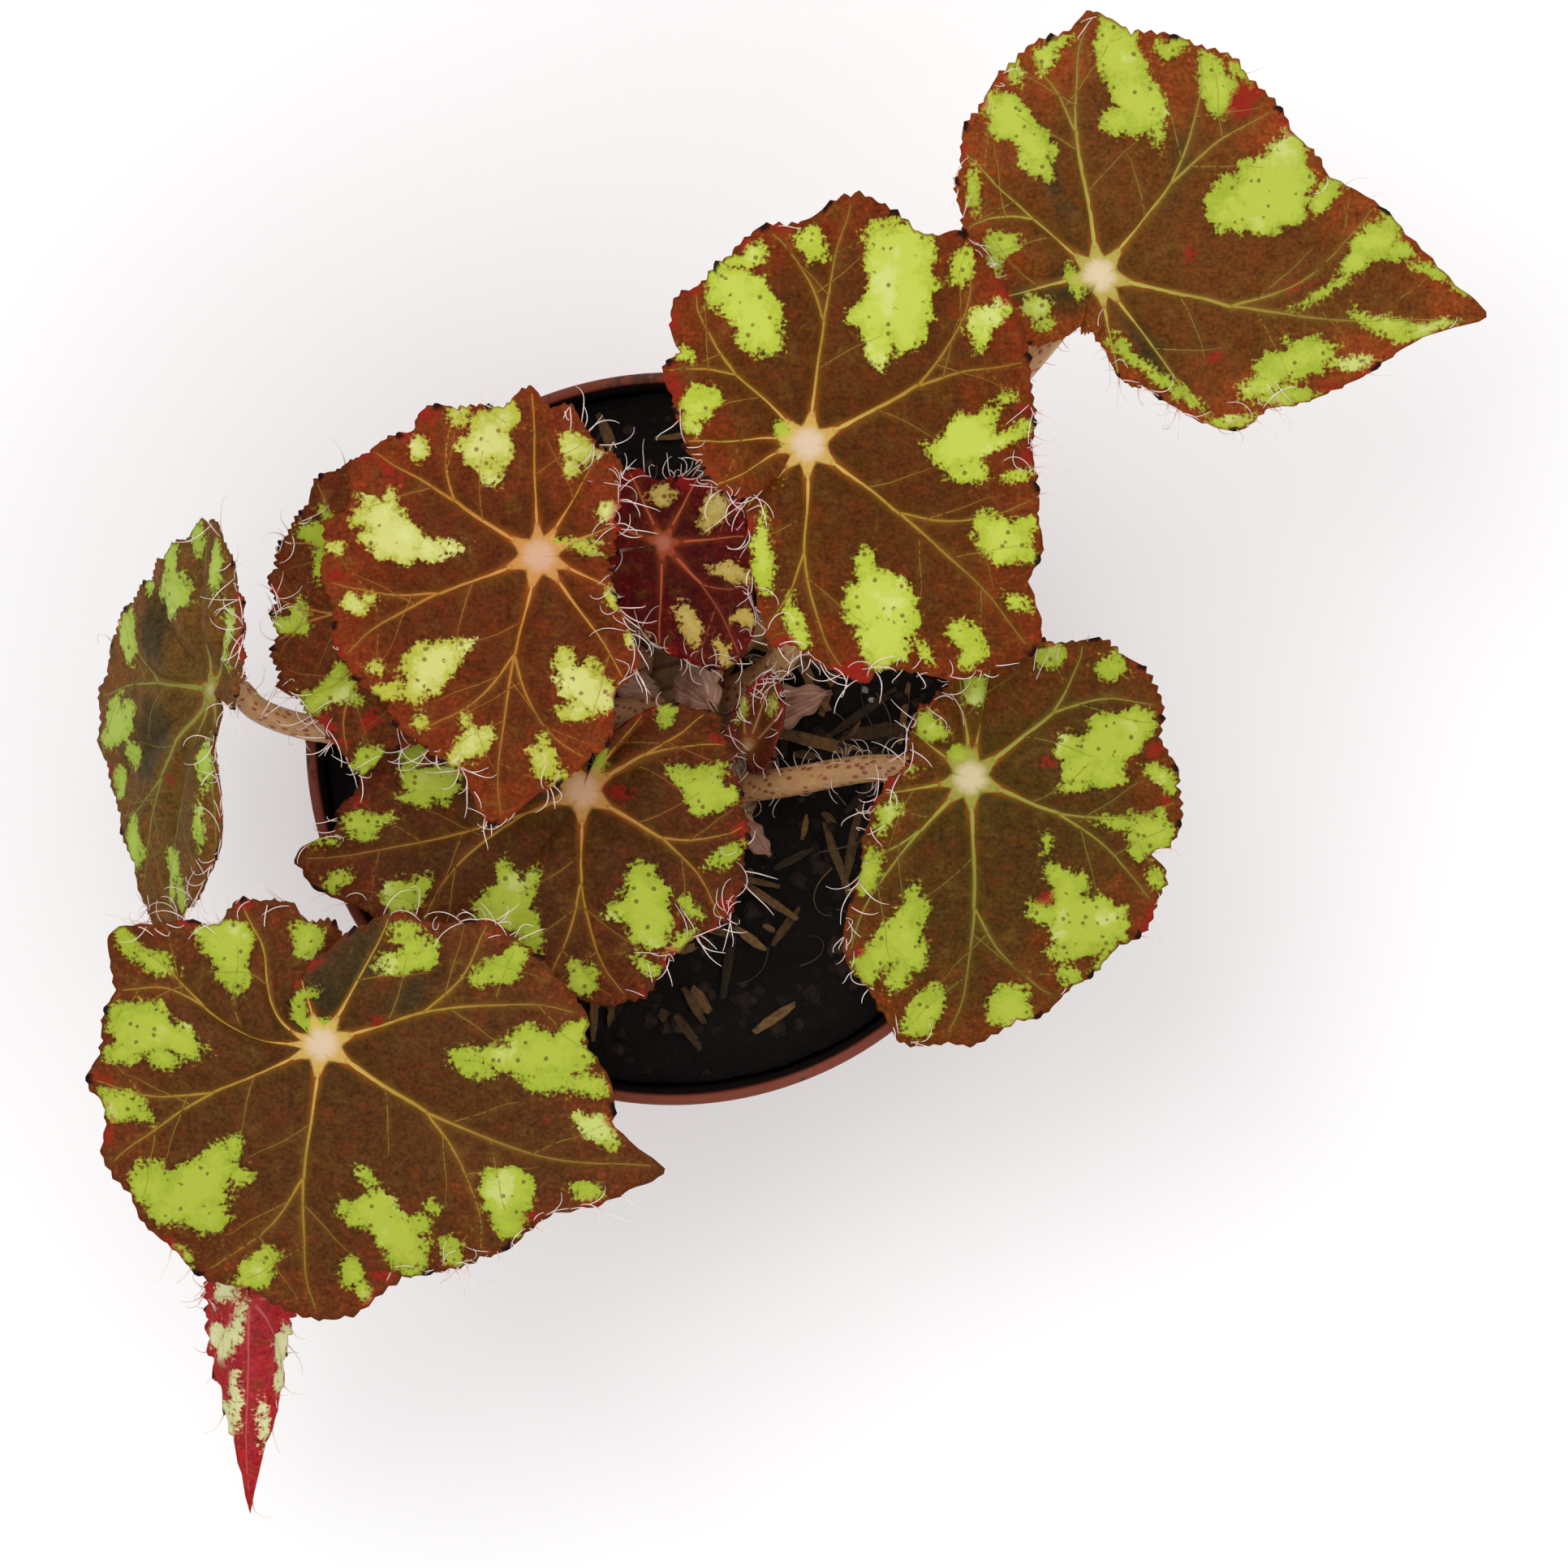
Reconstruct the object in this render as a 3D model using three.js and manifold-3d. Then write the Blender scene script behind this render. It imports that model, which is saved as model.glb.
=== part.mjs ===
// A potted begonia, seen in its nursery pot: a thin terracotta-coloured plastic pot full of peat,
// a creeping stem lying in the peat, and leaves that each stand on their own long stalk.
// Millimetres, +Z up. The origin is the centre of the pot's base, on the surface it stands on.
//
// Every leaf is drawn round the point where its stalk meets it. Its outline is a list of
// [bearing, reach]: a direction in degrees, counted anticlockwise from +X as seen from above,
// and the distance in millimetres from the stalk to the leaf's edge in that direction.
import * as THREE from "three";
import { mergeVertices } from "three/addons/utils/BufferGeometryUtils.js";
import Module from "manifold-3d";

const wasm = await Module();
wasm.setup();

// ---------------------------------------------------------------- driving dimensions

const CLEARANCE = 0.3; // air between pieces that touch on the real plant

const POT = {
  height: 95,
  rimRadius: 60,
  lipWidth: 1.8,
  bandHeight: 15, // the stiff collar below the rim
  bandStep: 2, // how far the collar stands out from the wall
  footRadius: 42,
  wall: 1.4,
  floor: 2,
  grooveDepth: 2,
  grooveInner: 16,
  grooveOuter: 35,
  drainHoles: 8,
  drainRadius: 3.2,
  notches: 4,
  notchWidth: 7,
  sides: 48,
};

const SOIL = {
  top: 84, // mean height of the peat
  lump: 1.1,
  rings: [6, 14, 24, 34, 44, 52],
  sides: 36,
  chips: 26,
};

const BLADE = {
  thickness: 0.8,
  rings: [0.14, 0.36, 0.6, 0.82, 1], // shares of the reach
  segments: [6, 12, 24, 48, 72], // round the stalk, at each ring
  toothDepth: 1.5,
  hubRadius: 3.4, // the flat spot over the stalk
  sinkAtHub: 1.8, // how far the stalk's end sits below the leaf round it
};

const STALK = {
  baseRadius: 2.6,
  topRadius: 2.0,
  thinned: 0.62, // a small leaf's stalk, as a share of a large one's
  sides: 8,
  steps: 13,
};

const RHIZOME = {
  path: [
    [11, -14, 84.5],
    [7.5, -5, 87],
    [3, 6, 87.5],
    [0, 17, 87.5],
    [-2.5, 28, 89],
  ],
  radius: 6.2,
  sides: 12,
  steps: 15,
};

const PEAT = { color: 0x1f1813, roughness: 0.95 };
const PLASTIC = { color: 0x9c4b33, roughness: 0.55 };
const LEAF_BROWN = { color: 0x5c3416, roughness: 0.45 };
const YOUNG_RED = { color: 0x6b1f1c, roughness: 0.45 };
const UNDERSIDE_RED = { color: 0xa82a38, roughness: 0.5 };
const STALK_TAN = { color: 0xc79a68, roughness: 0.6 };
const STEM_GREEN = { color: 0x8a6f45, roughness: 0.7 };
const PAPERY = { color: 0xa98d78, roughness: 0.8 };

// Leaves, from the top of the plan round to the right, then the two young ones.
//   at: where the stalk meets the blade;  lean: [bearing it leans down to, degrees]
//   sinus: bearing of the slit between the two lobes, near the stalk
//   ribs: bearings where the main veins reach the edge, which are the blade's valleys
//   tip: bearing of the blade's point;  droop: fall of the edge
//   lift: how far one lobe rides over the other
const LEAVES = [
  {
    name: "leaf_upper_right",
    at: [69.6, 75.4, 132],
    lean: [340, 11],
    sinus: 247,
    tip: 353.5,
    outline: [
      [252, 8], [270, 10.5], [285, 18], [298, 22.5], [306, 30.5], [314, 34.5], [325, 37.5],
      [337, 46.5], [345, 51.5], [350, 58], [353.5, 66.5], [358, 60], [367, 52.5], [377, 45.5],
      [386, 41], [405, 40.5], [421, 41.5], [437, 40.5], [447, 41], [452, 43], [459, 40],
      [469, 39], [480, 35.5], [491, 33], [502, 29.5], [514, 26.5], [525, 23], [540, 19.5],
      [560, 18.5], [575, 17], [588, 15], [600, 10],
    ],
    ribs: [276, 309, 350, 412, 462, 500, 540, 575],
    droop: 4,
    lift: 1.4,
    stalk: [[7, 13, 88], [18, 22, 103], [42, 44, 114], [62, 66, 121]],
  },
  {
    name: "leaf_upper_middle",
    at: [22.2, 47.8, 150],
    lean: [320, 6],
    sinus: 203,
    tip: 320,
    outline: [
      [200, 8], [219, 13], [238, 18.5], [246, 23], [256, 29], [260, 34], [267.5, 33],
      [274.5, 36.5], [283, 40], [288, 38.5], [298, 43], [310, 48.5], [320, 50], [329, 43],
      [337, 41.5], [346, 39], [355, 37], [368, 37.3], [379, 38.5], [396, 40.3], [414, 42],
      [419, 39.5], [432, 40.5], [440, 41.7], [448, 37], [458, 36.4], [470, 34.5], [481, 31.5],
      [490, 32.3], [500, 29.4], [505, 26.5], [515, 26.4], [526, 22], [537, 20.7], [552, 18],
      [566, 16.6], [578, 13.5], [584, 9],
    ],
    ribs: [222, 267, 324, 390, 443, 497, 539, 565],
    droop: 4,
    lift: 1.8,
    stalk: [[9, 7, 88], [17, 12, 98], [23, 26, 120], [23, 42, 140]],
  },
  {
    name: "leaf_left_centre",
    at: [-21.6, 29.7, 139],
    lean: [255, 9],
    sinus: 359,
    tip: 260,
    outline: [
      [6, 9], [17, 12.8], [31, 15], [43, 18.5], [53, 20.8], [64, 21], [77, 25.3], [86, 25],
      [92, 27.5], [105, 25.5], [121, 29], [130, 30.7], [136, 29.4], [150, 33.3], [168, 32.5],
      [171, 34.9], [186, 35.2], [197, 35], [206, 37], [215, 35.8], [224, 35.3], [243, 37.3],
      [251, 38.2], [256, 43.4], [261, 45], [265, 42.3], [273, 38.2], [282, 35], [291, 32],
      [298, 26.3], [305, 24.7], [315, 23.5], [321, 18.8], [337, 12.5], [352, 10],
    ],
    ribs: [20, 57, 91, 145, 200, 256, 311, 342],
    droop: 3,
    lift: 1.2,
    stalk: [[-4, 19, 88], [-9, 22, 103], [-17, 27, 121], [-21, 29, 131]],
  },
  {
    name: "leaf_left_behind",
    at: [-42.9, 20.6, 121],
    lean: [175, 12],
    sinus: 342,
    tip: 613,
    outline: [
      [350, 8], [365, 14], [385, 20], [410, 24], [440, 25], [468, 26], [484, 26.5],
      [495, 24.2], [509, 24], [521, 23.8], [541, 22.2], [551, 22.4], [562, 24], [574, 24],
      [582, 23], [599, 24], [613, 27.5], [623, 22.5], [640, 22], [660, 20], [680, 15],
      [693, 9],
    ],
    ribs: [365, 400, 445, 495, 540, 585, 630, 672],
    droop: 3,
    lift: 1.2,
    stalk: [[-4.5, 12.5, 88], [-15, 14, 98], [-32, 18, 106], [-42, 20, 112]],
  },
  {
    name: "leaf_far_left",
    at: [-75.1, 8, 112],
    lean: [180, 57],
    sinus: 326,
    tip: 611,
    outline: [
      [335, 8], [363, 10.6], [388, 14.3], [415, 18.4], [426, 22.7], [446, 27.8], [462, 25.8],
      [487, 24.6], [502, 26], [518, 28.5], [531, 30], [550, 33.5], [564, 33.4], [574, 33.1],
      [589, 35.5], [602, 41], [611, 46.5], [620, 37.5], [634, 31], [644, 23.7], [651, 15],
      [662, 10], [678, 8],
    ],
    ribs: [375, 415, 452, 492, 530, 570, 608, 648],
    droop: 2,
    lift: 1.0,
    stalk: [[-3, 6, 88], [-14, 3, 97], [-38, 0.5, 101.5], [-60, 2, 104.5], [-68, 5, 107]],
  },
  {
    name: "leaf_lower_centre",
    at: [-14.6, -8.6, 115],
    lean: [215, 4],
    sinus: 73,
    tip: 193.5,
    outline: [
      [80, 9], [95, 16], [110, 21], [130, 27], [150, 32], [165, 35], [179, 37], [184, 40],
      [189, 41], [191.5, 47], [193.5, 49], [198, 47.5], [204, 43.4], [212, 40], [225, 38],
      [240, 36], [255, 35], [270, 34], [278, 35.4], [286, 35], [293, 32.5], [303, 30],
      [315, 31.4], [326, 31], [335, 29], [345, 28.3], [357, 26.4], [371, 25], [381, 25.2],
      [390, 25], [399, 22.4], [406, 20], [412, 17], [422, 10], [427, 7],
    ],
    ribs: [110, 150, 198, 235, 270, 325, 382, 408],
    droop: 3,
    lift: 1.2,
    stalk: [[-1, 0, 88], [-6, -3, 98], [-12.5, -7.5, 106]],
  },
  {
    name: "leaf_lower_left",
    at: [-57.1, -49.8, 123],
    lean: [245, 7],
    sinus: 143,
    tip: 339,
    outline: [
      [78, 18], [84, 20], [97, 21], [102, 23.3], [120, 26.7], [132, 26.3], [137, 29.4],
      [144, 33.5], [151, 38.5], [160, 36.7], [167, 35.3], [180, 36.4], [190, 38.5],
      [195, 37.3], [203, 39], [212, 40.6], [222, 40.8], [240, 43], [259, 43], [269, 46],
      [276, 44.7], [284, 42], [294, 41.2], [304, 44], [320, 46.2], [328, 50.8], [334.5, 55.8],
      [339, 60], [342, 53], [344, 49.5], [353, 47], [360.5, 43.2], [366.4, 43], [377.5, 39.8],
      [386.6, 36.7], [395, 35.3], [405, 28.3], [422.6, 24.3], [437.5, 18.4], [450, 15.2],
      [466, 11.6], [481, 9.3], [499, 7.4],
    ],
    ribs: [115, 160, 204, 262, 330, 377, 424, 465],
    droop: 4,
    lift: 2.2,
    stalk: [[1, -5, 88], [-9, -15, 97], [-36, -34, 104], [-52, -46, 114]],
  },
  {
    name: "leaf_right",
    at: [48.7, -6.4, 121],
    lean: [290, 8],
    sinus: 162,
    tip: 257,
    outline: [
      [166, 9], [177, 12], [190, 15.3], [209, 19.8], [219, 23.2], [227, 29], [235, 36],
      [243.5, 38], [250.5, 42.1], [257, 45], [269, 44.2], [276, 42.5], [290, 40], [300, 38.4],
      [307, 37.5], [320, 38], [328.5, 36.8], [335, 34.8], [337, 32], [341, 35], [358, 34.3],
      [371.5, 32], [387, 34.1], [398.5, 32], [404, 32], [411, 28.7], [417, 26.8], [430, 24],
      [455, 19], [467, 15.5], [484, 14.7], [507, 11.8], [518, 9],
    ],
    ribs: [185, 230, 270, 335, 403, 440, 461, 500],
    droop: 4,
    lift: 1.0,
    stalk: [[9.5, -8, 88], [18, -7.2, 97], [33, -4.8, 106], [45, -5.5, 112]],
  },
  {
    name: "leaf_young_red",
    at: [-1.5, 31.9, 110],
    lean: [300, 4],
    sinus: 190,
    tip: 470,
    outline: [
      [200, 7], [220, 9], [250, 13], [280, 19], [300, 23], [315, 21], [330, 17], [350, 15],
      [370, 14], [390, 14.5], [410, 13], [427, 12], [440, 11], [452, 10], [460, 10.4],
      [470, 13], [490, 12], [520, 11], [540, 8],
    ],
    ribs: [225, 265, 312, 366, 412, 485, 520],
    droop: 1.5,
    lift: 0.8,
    small: true,
    colour: YOUNG_RED,
    stalk: [[-1, 26, 90], [-1.8, 29.5, 98], [-1.6, 31.5, 104]],
  },
  {
    name: "leaf_unfurling",
    at: [-69.2, -91.5, 97],
    lean: [270, 24],
    sinus: 90,
    tip: 269,
    outline: [
      [105, 5], [140, 8], [180, 10], [215, 12.5], [238, 17], [252, 24], [262, 31], [269, 38.5],
      [278, 30], [290, 22], [305, 15.5], [325, 12], [360, 10], [400, 8], [435, 5],
    ],
    ribs: [140, 200, 235, 270, 305, 340, 400],
    droop: 1,
    lift: 0,
    small: true,
    fold: { along: 270, radius: 3.2, degrees: 58, side: -1 },
    keelUp: true,
    colour: UNDERSIDE_RED,
    stalk: [[4, -11, 87], [-6, -22, 97], [-38, -56, 104], [-61, -81, 104.5]],
  },
  {
    name: "leaf_bud",
    at: [12.4, -1.2, 97],
    lean: [70, -30],
    sinus: 250,
    tip: 430,
    outline: [
      [265, 3.6], [300, 4.5], [340, 6], [380, 8.5], [405, 12], [430, 15], [455, 12],
      [480, 8.5], [520, 6], [560, 4.5], [595, 3.6],
    ],
    ribs: [300, 350, 395, 430, 465, 510, 560],
    droop: 0,
    lift: 0,
    small: true,
    fold: { along: 70, radius: 2.4, degrees: 50, side: 1 },
    stalk: [[11, -2.4, 89], [12, -1.6, 92]],
  },
];

// Dry stipules round the growing tip: pointed papery scales.
const STIPULES = [
  { name: "stipule_1", foot: [1.5, 12, 93], tip: [6.5, 5.5, 103], width: 9 },
  { name: "stipule_2", foot: [10, 2.8, 89], tip: [25.5, 7.5, 98], width: 7 },
  { name: "stipule_3", foot: [-3.5, 24.5, 93.5], tip: [-7, 36, 101], width: 6 },
];

// ---------------------------------------------------------------- small helpers

const radians = THREE.MathUtils.degToRad;
const smooth = (x) => THREE.MathUtils.smoothstep(x, 0, 1);
const Z_AXIS = new THREE.Vector3(0, 0, 1);

// A repeatable random number from 0 to 1 for each whole number.
function draw(n) {
  const s = Math.sin(n * 127.1 + 311.7) * 43758.5453;
  return s - Math.floor(s);
}

function geometryOf(points, faces) {
  const g = new THREE.BufferGeometry();
  g.setAttribute("position", new THREE.Float32BufferAttribute(points.flat(), 3));
  g.setIndex(faces.flat());
  return g;
}

function solidOf(geometry) {
  const bare = geometry.clone();
  bare.deleteAttribute("normal");
  bare.deleteAttribute("uv");
  const merged = mergeVertices(bare, 1e-4);
  return new wasm.Manifold(
    new wasm.Mesh({
      numProp: 3,
      vertProperties: new Float32Array(merged.attributes.position.array),
      triVerts: new Uint32Array(merged.index.array),
    }),
  );
}

function geometryFrom(solid) {
  const mesh = solid.getMesh();
  const g = new THREE.BufferGeometry();
  g.setAttribute("position", new THREE.BufferAttribute(new Float32Array(mesh.vertProperties), 3));
  g.setIndex(new THREE.BufferAttribute(new Uint32Array(mesh.triVerts), 1));
  return g;
}

const plant = new THREE.Group();

function add(name, geometry, finish) {
  const material = new THREE.MeshStandardMaterial({ metalness: 0, ...finish });
  const mesh = new THREE.Mesh(geometry, material);
  mesh.name = name;
  plant.add(mesh);
  return mesh;
}

// A round rod along a list of points: radiusAt(share) is its radius from foot (0) to end (1).
function rod(points, radiusAt, sides, steps) {
  const curve = new THREE.CatmullRomCurve3(points.map((p) => new THREE.Vector3(...p)));
  curve.curveType = "centripetal";
  const frames = curve.computeFrenetFrames(steps, false);
  const verts = [];
  const faces = [];
  for (let i = 0; i <= steps; i++) {
    const centre = curve.getPointAt(i / steps);
    for (let j = 0; j < sides; j++) {
      const angle = (j / sides) * 2 * Math.PI;
      const p = centre
        .clone()
        .addScaledVector(frames.normals[i], Math.cos(angle) * radiusAt(i / steps, angle))
        .addScaledVector(frames.binormals[i], Math.sin(angle) * radiusAt(i / steps, angle));
      verts.push(p.toArray());
    }
  }
  for (let i = 0; i < steps; i++) {
    for (let j = 0; j < sides; j++) {
      const a = i * sides + j;
      const b = i * sides + ((j + 1) % sides);
      faces.push([a, b, b + sides], [a, b + sides, a + sides]);
    }
  }
  const foot = verts.push(curve.getPointAt(0).toArray()) - 1;
  const end = verts.push(curve.getPointAt(1).toArray()) - 1;
  for (let j = 0; j < sides; j++) {
    const k = (j + 1) % sides;
    faces.push([foot, k, j], [end, steps * sides + j, steps * sides + k]);
  }
  return geometryOf(verts, faces);
}

// ---------------------------------------------------------------- pot

// Half of the pot's section, as [radius, height], from the axis under the floor round to the
// axis above it.
function potProfile() {
  const p = POT;
  const wallTop = p.height - p.bandHeight;
  const wallTopRadius = p.rimRadius - p.lipWidth / 2 - p.bandStep;
  return [
    [0, 0],
    [p.grooveInner, 0],
    [p.grooveInner + 1.2, p.grooveDepth],
    [p.grooveOuter - 1.2, p.grooveDepth],
    [p.grooveOuter, 0],
    [p.footRadius - 0.8, 0],
    [p.footRadius, 0.8],
    [wallTopRadius, wallTop],
    [p.rimRadius - 1.4, wallTop + 0.6],
    [p.rimRadius - 0.3, p.height - 1.2],
    [p.rimRadius, p.height - 0.6],
    [p.rimRadius - 0.5, p.height],
    [p.rimRadius - p.lipWidth + 0.4, p.height],
    [p.rimRadius - p.lipWidth, p.height - 0.6],
    [p.rimRadius - p.lipWidth - 1.2, wallTop + 1],
    [wallTopRadius - p.wall, wallTop - 0.8],
    [p.footRadius - p.wall, p.grooveDepth + p.floor],
    [0, p.grooveDepth + p.floor],
  ];
}

function makePot() {
  const outline = potProfile().map(([r, z]) => new THREE.Vector2(r, z));
  const shell = new THREE.LatheGeometry(outline, POT.sides).rotateX(Math.PI / 2);
  let pot = solidOf(shell);
  const ringRadius = (POT.grooveInner + POT.grooveOuter) / 2;
  for (let i = 0; i < POT.drainHoles; i++) {
    const angle = ((i + 0.5) / POT.drainHoles) * 2 * Math.PI;
    const hole = new THREE.CylinderGeometry(POT.drainRadius, POT.drainRadius, 12, 12)
      .rotateX(Math.PI / 2)
      .translate(ringRadius * Math.cos(angle), ringRadius * Math.sin(angle), POT.grooveDepth);
    pot = pot.subtract(solidOf(hole));
  }
  const footWidth = POT.footRadius - POT.grooveOuter;
  for (let i = 0; i < POT.notches; i++) {
    const notch = new THREE.BoxGeometry(footWidth + 4, POT.notchWidth, 2 * POT.grooveDepth * 0.7)
      .translate(POT.grooveOuter + footWidth / 2, 0, 0)
      .rotateZ((i / POT.notches) * 2 * Math.PI);
    pot = pot.subtract(solidOf(notch));
  }
  return pot;
}

// ---------------------------------------------------------------- leaves

// The edge's reach at a bearing: a smooth curve through the outline's points.
function reachAt(outline, bearing) {
  const last = outline.length - 1;
  let i = 0;
  while (i < last - 1 && bearing > outline[i + 1][0]) i++;
  const slope = (k) => {
    const a = outline[Math.max(k - 1, 0)];
    const b = outline[Math.min(k + 1, last)];
    return (b[1] - a[1]) / (b[0] - a[0]);
  };
  const [b0, r0] = outline[i];
  const [b1, r1] = outline[i + 1];
  const span = b1 - b0;
  const t = THREE.MathUtils.clamp((bearing - b0) / span, 0, 1);
  const t2 = t * t;
  const t3 = t2 * t;
  return (
    (2 * t3 - 3 * t2 + 1) * r0 +
    (t3 - 2 * t2 + t) * span * slope(i) +
    (3 * t2 - 2 * t3) * r1 +
    (t3 - t2) * span * slope(i + 1)
  );
}

// Teeth along the edge: each rises over its first third and falls over the rest.
function toothAt(leaf, u, teeth) {
  const n = Math.floor(u * teeth);
  const t = u * teeth - n;
  const rise = t < 1 / 3 ? 3 * t : (1 - t) * 1.5;
  const size = (leaf.small ? 0.5 : 1) * (0.5 + draw(n + leaf.at[0]));
  return (rise - 0.5) * BLADE.toothDepth * size;
}

// How far the blade puffs up between its ribs: 0 on a rib, 1 midway between two.
function puffAt(ribs, bearing) {
  let i = 0;
  while (i < ribs.length && bearing > ribs[i]) i++;
  const low = ribs[i - 1] ?? ribs[0] - 40;
  const high = ribs[i] ?? ribs[ribs.length - 1] + 40;
  return Math.sin((Math.PI * (bearing - low)) / (high - low));
}

// The middle of the blade's thickness before it is folded and leant: u runs round the stalk
// from one side of the slit to the other, and v from the stalk (0) to the edge (1).
function flatPoint(leaf, u, v, teeth) {
  const first = leaf.outline[0][0];
  const last = leaf.outline[leaf.outline.length - 1][0];
  const edgeBearing = first + u * (last - first);
  const reach = reachAt(leaf.outline, edgeBearing) + toothAt(leaf, u, teeth) * v ** 6;
  const nearFirst = Math.max(0, 1 - u / 0.3);
  const nearLast = Math.max(0, 1 - (1 - u) / 0.3);
  const opened = smooth(v / 0.75);
  const slitFirst = leaf.sinus + 4 + 360 * Math.round((first - leaf.sinus) / 360);
  const slitLast = leaf.sinus - 4 + 360 * Math.round((last - leaf.sinus) / 360);
  const pull = (slitFirst - first) * nearFirst + (slitLast - last) * nearLast;
  const bearing = radians(edgeBearing + (1 - opened) * pull);
  const r = reach * v;
  const share = r / 40;
  const awayFromHub = smooth((r - BLADE.hubRadius) / 8);
  const puff = leaf.small ? 0.5 : 1.7;
  const waves = leaf.small ? 0.3 : 1.1;
  const z =
    (leaf.small ? 0.3 : 1) * BLADE.sinkAtHub * awayFromHub -
    leaf.droop * share * share +
    puff * puffAt(leaf.ribs, edgeBearing) * awayFromHub * (1 - 0.6 * v ** 3) +
    waves * Math.sin(u * 44 + leaf.at[1]) * v ** 4 +
    leaf.lift * (nearLast - nearFirst) * opened * awayFromHub;
  return [r * Math.cos(bearing), r * Math.sin(bearing), z];
}

// Bends the blade down (side -1) or up (side +1) on both sides of the rib along a bearing.
function folded([x, y, z], fold) {
  if (!fold) return [x, y, z];
  const a = radians(fold.along);
  const along = x * Math.cos(a) + y * Math.sin(a);
  const across = -x * Math.sin(a) + y * Math.cos(a);
  const limit = radians(fold.degrees);
  const distance = Math.abs(across);
  const turn = Math.min(distance / fold.radius, limit);
  const straight = distance - turn * fold.radius;
  const out = fold.radius * Math.sin(turn) + straight * Math.cos(limit) - fold.side * z * Math.sin(turn);
  const rise = fold.side * (fold.radius * (1 - Math.cos(turn)) + straight * Math.sin(limit));
  const side = Math.sign(across) * out;
  return [
    along * Math.cos(a) - side * Math.sin(a),
    along * Math.sin(a) + side * Math.cos(a),
    rise + z * Math.cos(turn),
  ];
}

// Turns and moves a leaf's own frame to its place on the plant.
function placeOf(leaf) {
  const [azimuth, degrees] = leaf.lean;
  const a = radians(azimuth);
  const axis = new THREE.Vector3(-Math.sin(a), Math.cos(a), 0);
  const turned = new THREE.Quaternion().setFromAxisAngle(axis, radians(degrees));
  return new THREE.Matrix4().compose(new THREE.Vector3(...leaf.at), turned, new THREE.Vector3(1, 1, 1));
}

// A blade of even thickness, split into triangles alike on both faces.
function bladeGeometry(leaf) {
  const segments = leaf.small ? BLADE.segments.map((n) => n / 2) : BLADE.segments;
  const teeth = segments[segments.length - 1] / 3;
  const place = placeOf(leaf);
  const half = BLADE.thickness / 2;
  const verts = [];
  const put = (u, v, lift) => {
    const [x, y, z] = flatPoint(leaf, u, v, teeth);
    const p = new THREE.Vector3(...folded([x, y, z + lift], leaf.fold)).applyMatrix4(place);
    return verts.push(p.toArray()) - 1;
  };
  const first = leaf.outline[0][0];
  const last = leaf.outline[leaf.outline.length - 1][0];
  const tipAt = (leaf.tip - first) / (last - first);
  const rings = BLADE.rings.map((v, k) => {
    const n = segments[k];
    return Array.from({ length: n + 1 }, (_, i) => {
      const u = Math.abs(i / n - tipAt) < 0.5 / n ? tipAt : i / n;
      return { u, top: put(u, v, half), under: put(u, v, -half) };
    });
  });
  const hub = { top: put(0.5, 0, half), under: put(0.5, 0, -half) };
  const faces = [];
  const both = (a, b, c) => {
    faces.push([a.top, b.top, c.top], [a.under, c.under, b.under]);
  };
  for (let i = 0; i < segments[0]; i++) both(hub, rings[0][i], rings[0][i + 1]);
  for (let k = 0; k + 1 < rings.length; k++) {
    const inner = rings[k];
    const outer = rings[k + 1];
    let i = 0;
    let j = 0;
    while (i < inner.length - 1 || j < outer.length - 1) {
      const innerNext = i < inner.length - 1 ? inner[i + 1].u : Infinity;
      const outerNext = j < outer.length - 1 ? outer[j + 1].u : Infinity;
      if (outerNext <= innerNext) both(inner[i], outer[j], outer[++j]);
      else both(inner[i], outer[j], inner[++i]);
    }
  }
  const wall = (a, b) => faces.push([a.top, a.under, b.under], [a.top, b.under, b.top]);
  const edge = rings[rings.length - 1];
  for (let j = 0; j < edge.length - 1; j++) wall(edge[j], edge[j + 1]);
  const firstSide = [hub, ...rings.map((ring) => ring[0])];
  const lastSide = [hub, ...rings.map((ring) => ring[ring.length - 1])];
  for (let k = 0; k < rings.length; k++) {
    wall(firstSide[k], firstSide[k + 1]);
    wall(lastSide[k + 1], lastSide[k]);
  }
  return geometryOf(verts, faces);
}

// A stalk's line: up from the creeping stem, then square to the blade for its last stretch, so
// that its flat end faces the blade's hub. On the folded leaf it lies along the keel.
function stalkLine(leaf) {
  const place = placeOf(leaf);
  const gap = BLADE.thickness / 2 + CLEARANCE;
  const own = (x, y, z) => new THREE.Vector3(x, y, z).applyMatrix4(place).toArray();
  if (leaf.keelUp) {
    const height = gap + STALK.thinned * STALK.topRadius;
    const a = radians(leaf.fold.along);
    const along = (d) => own(d * Math.cos(a), d * Math.sin(a), height);
    return [...leaf.stalk, along(-6), along(-1), along(3)];
  }
  const reach = leaf.small ? 3 : 5;
  return [...leaf.stalk, own(0, 0, -reach), own(0, 0, -gap)];
}

function stalkRod(leaf, extra) {
  const thin = leaf.small ? STALK.thinned : 1;
  const radiusAt = (t) =>
    thin * THREE.MathUtils.lerp(STALK.baseRadius, STALK.topRadius, t) + extra;
  return rod(stalkLine(leaf), radiusAt, STALK.sides, STALK.steps);
}

// ---------------------------------------------------------------- creeping stem, stipules

function rhizomeRod(extra) {
  const radiusAt = (t, angle) => {
    const rounded = Math.sqrt(Math.max(0.12, 1 - (2 * t - 1) ** 6));
    const knots = 1 + 0.07 * Math.sin(t * 34) + 0.05 * Math.sin(3 * angle + t * 20);
    return RHIZOME.radius * rounded * knots + extra;
  };
  return rod(RHIZOME.path, radiusAt, RHIZOME.sides, RHIZOME.steps);
}

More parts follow.
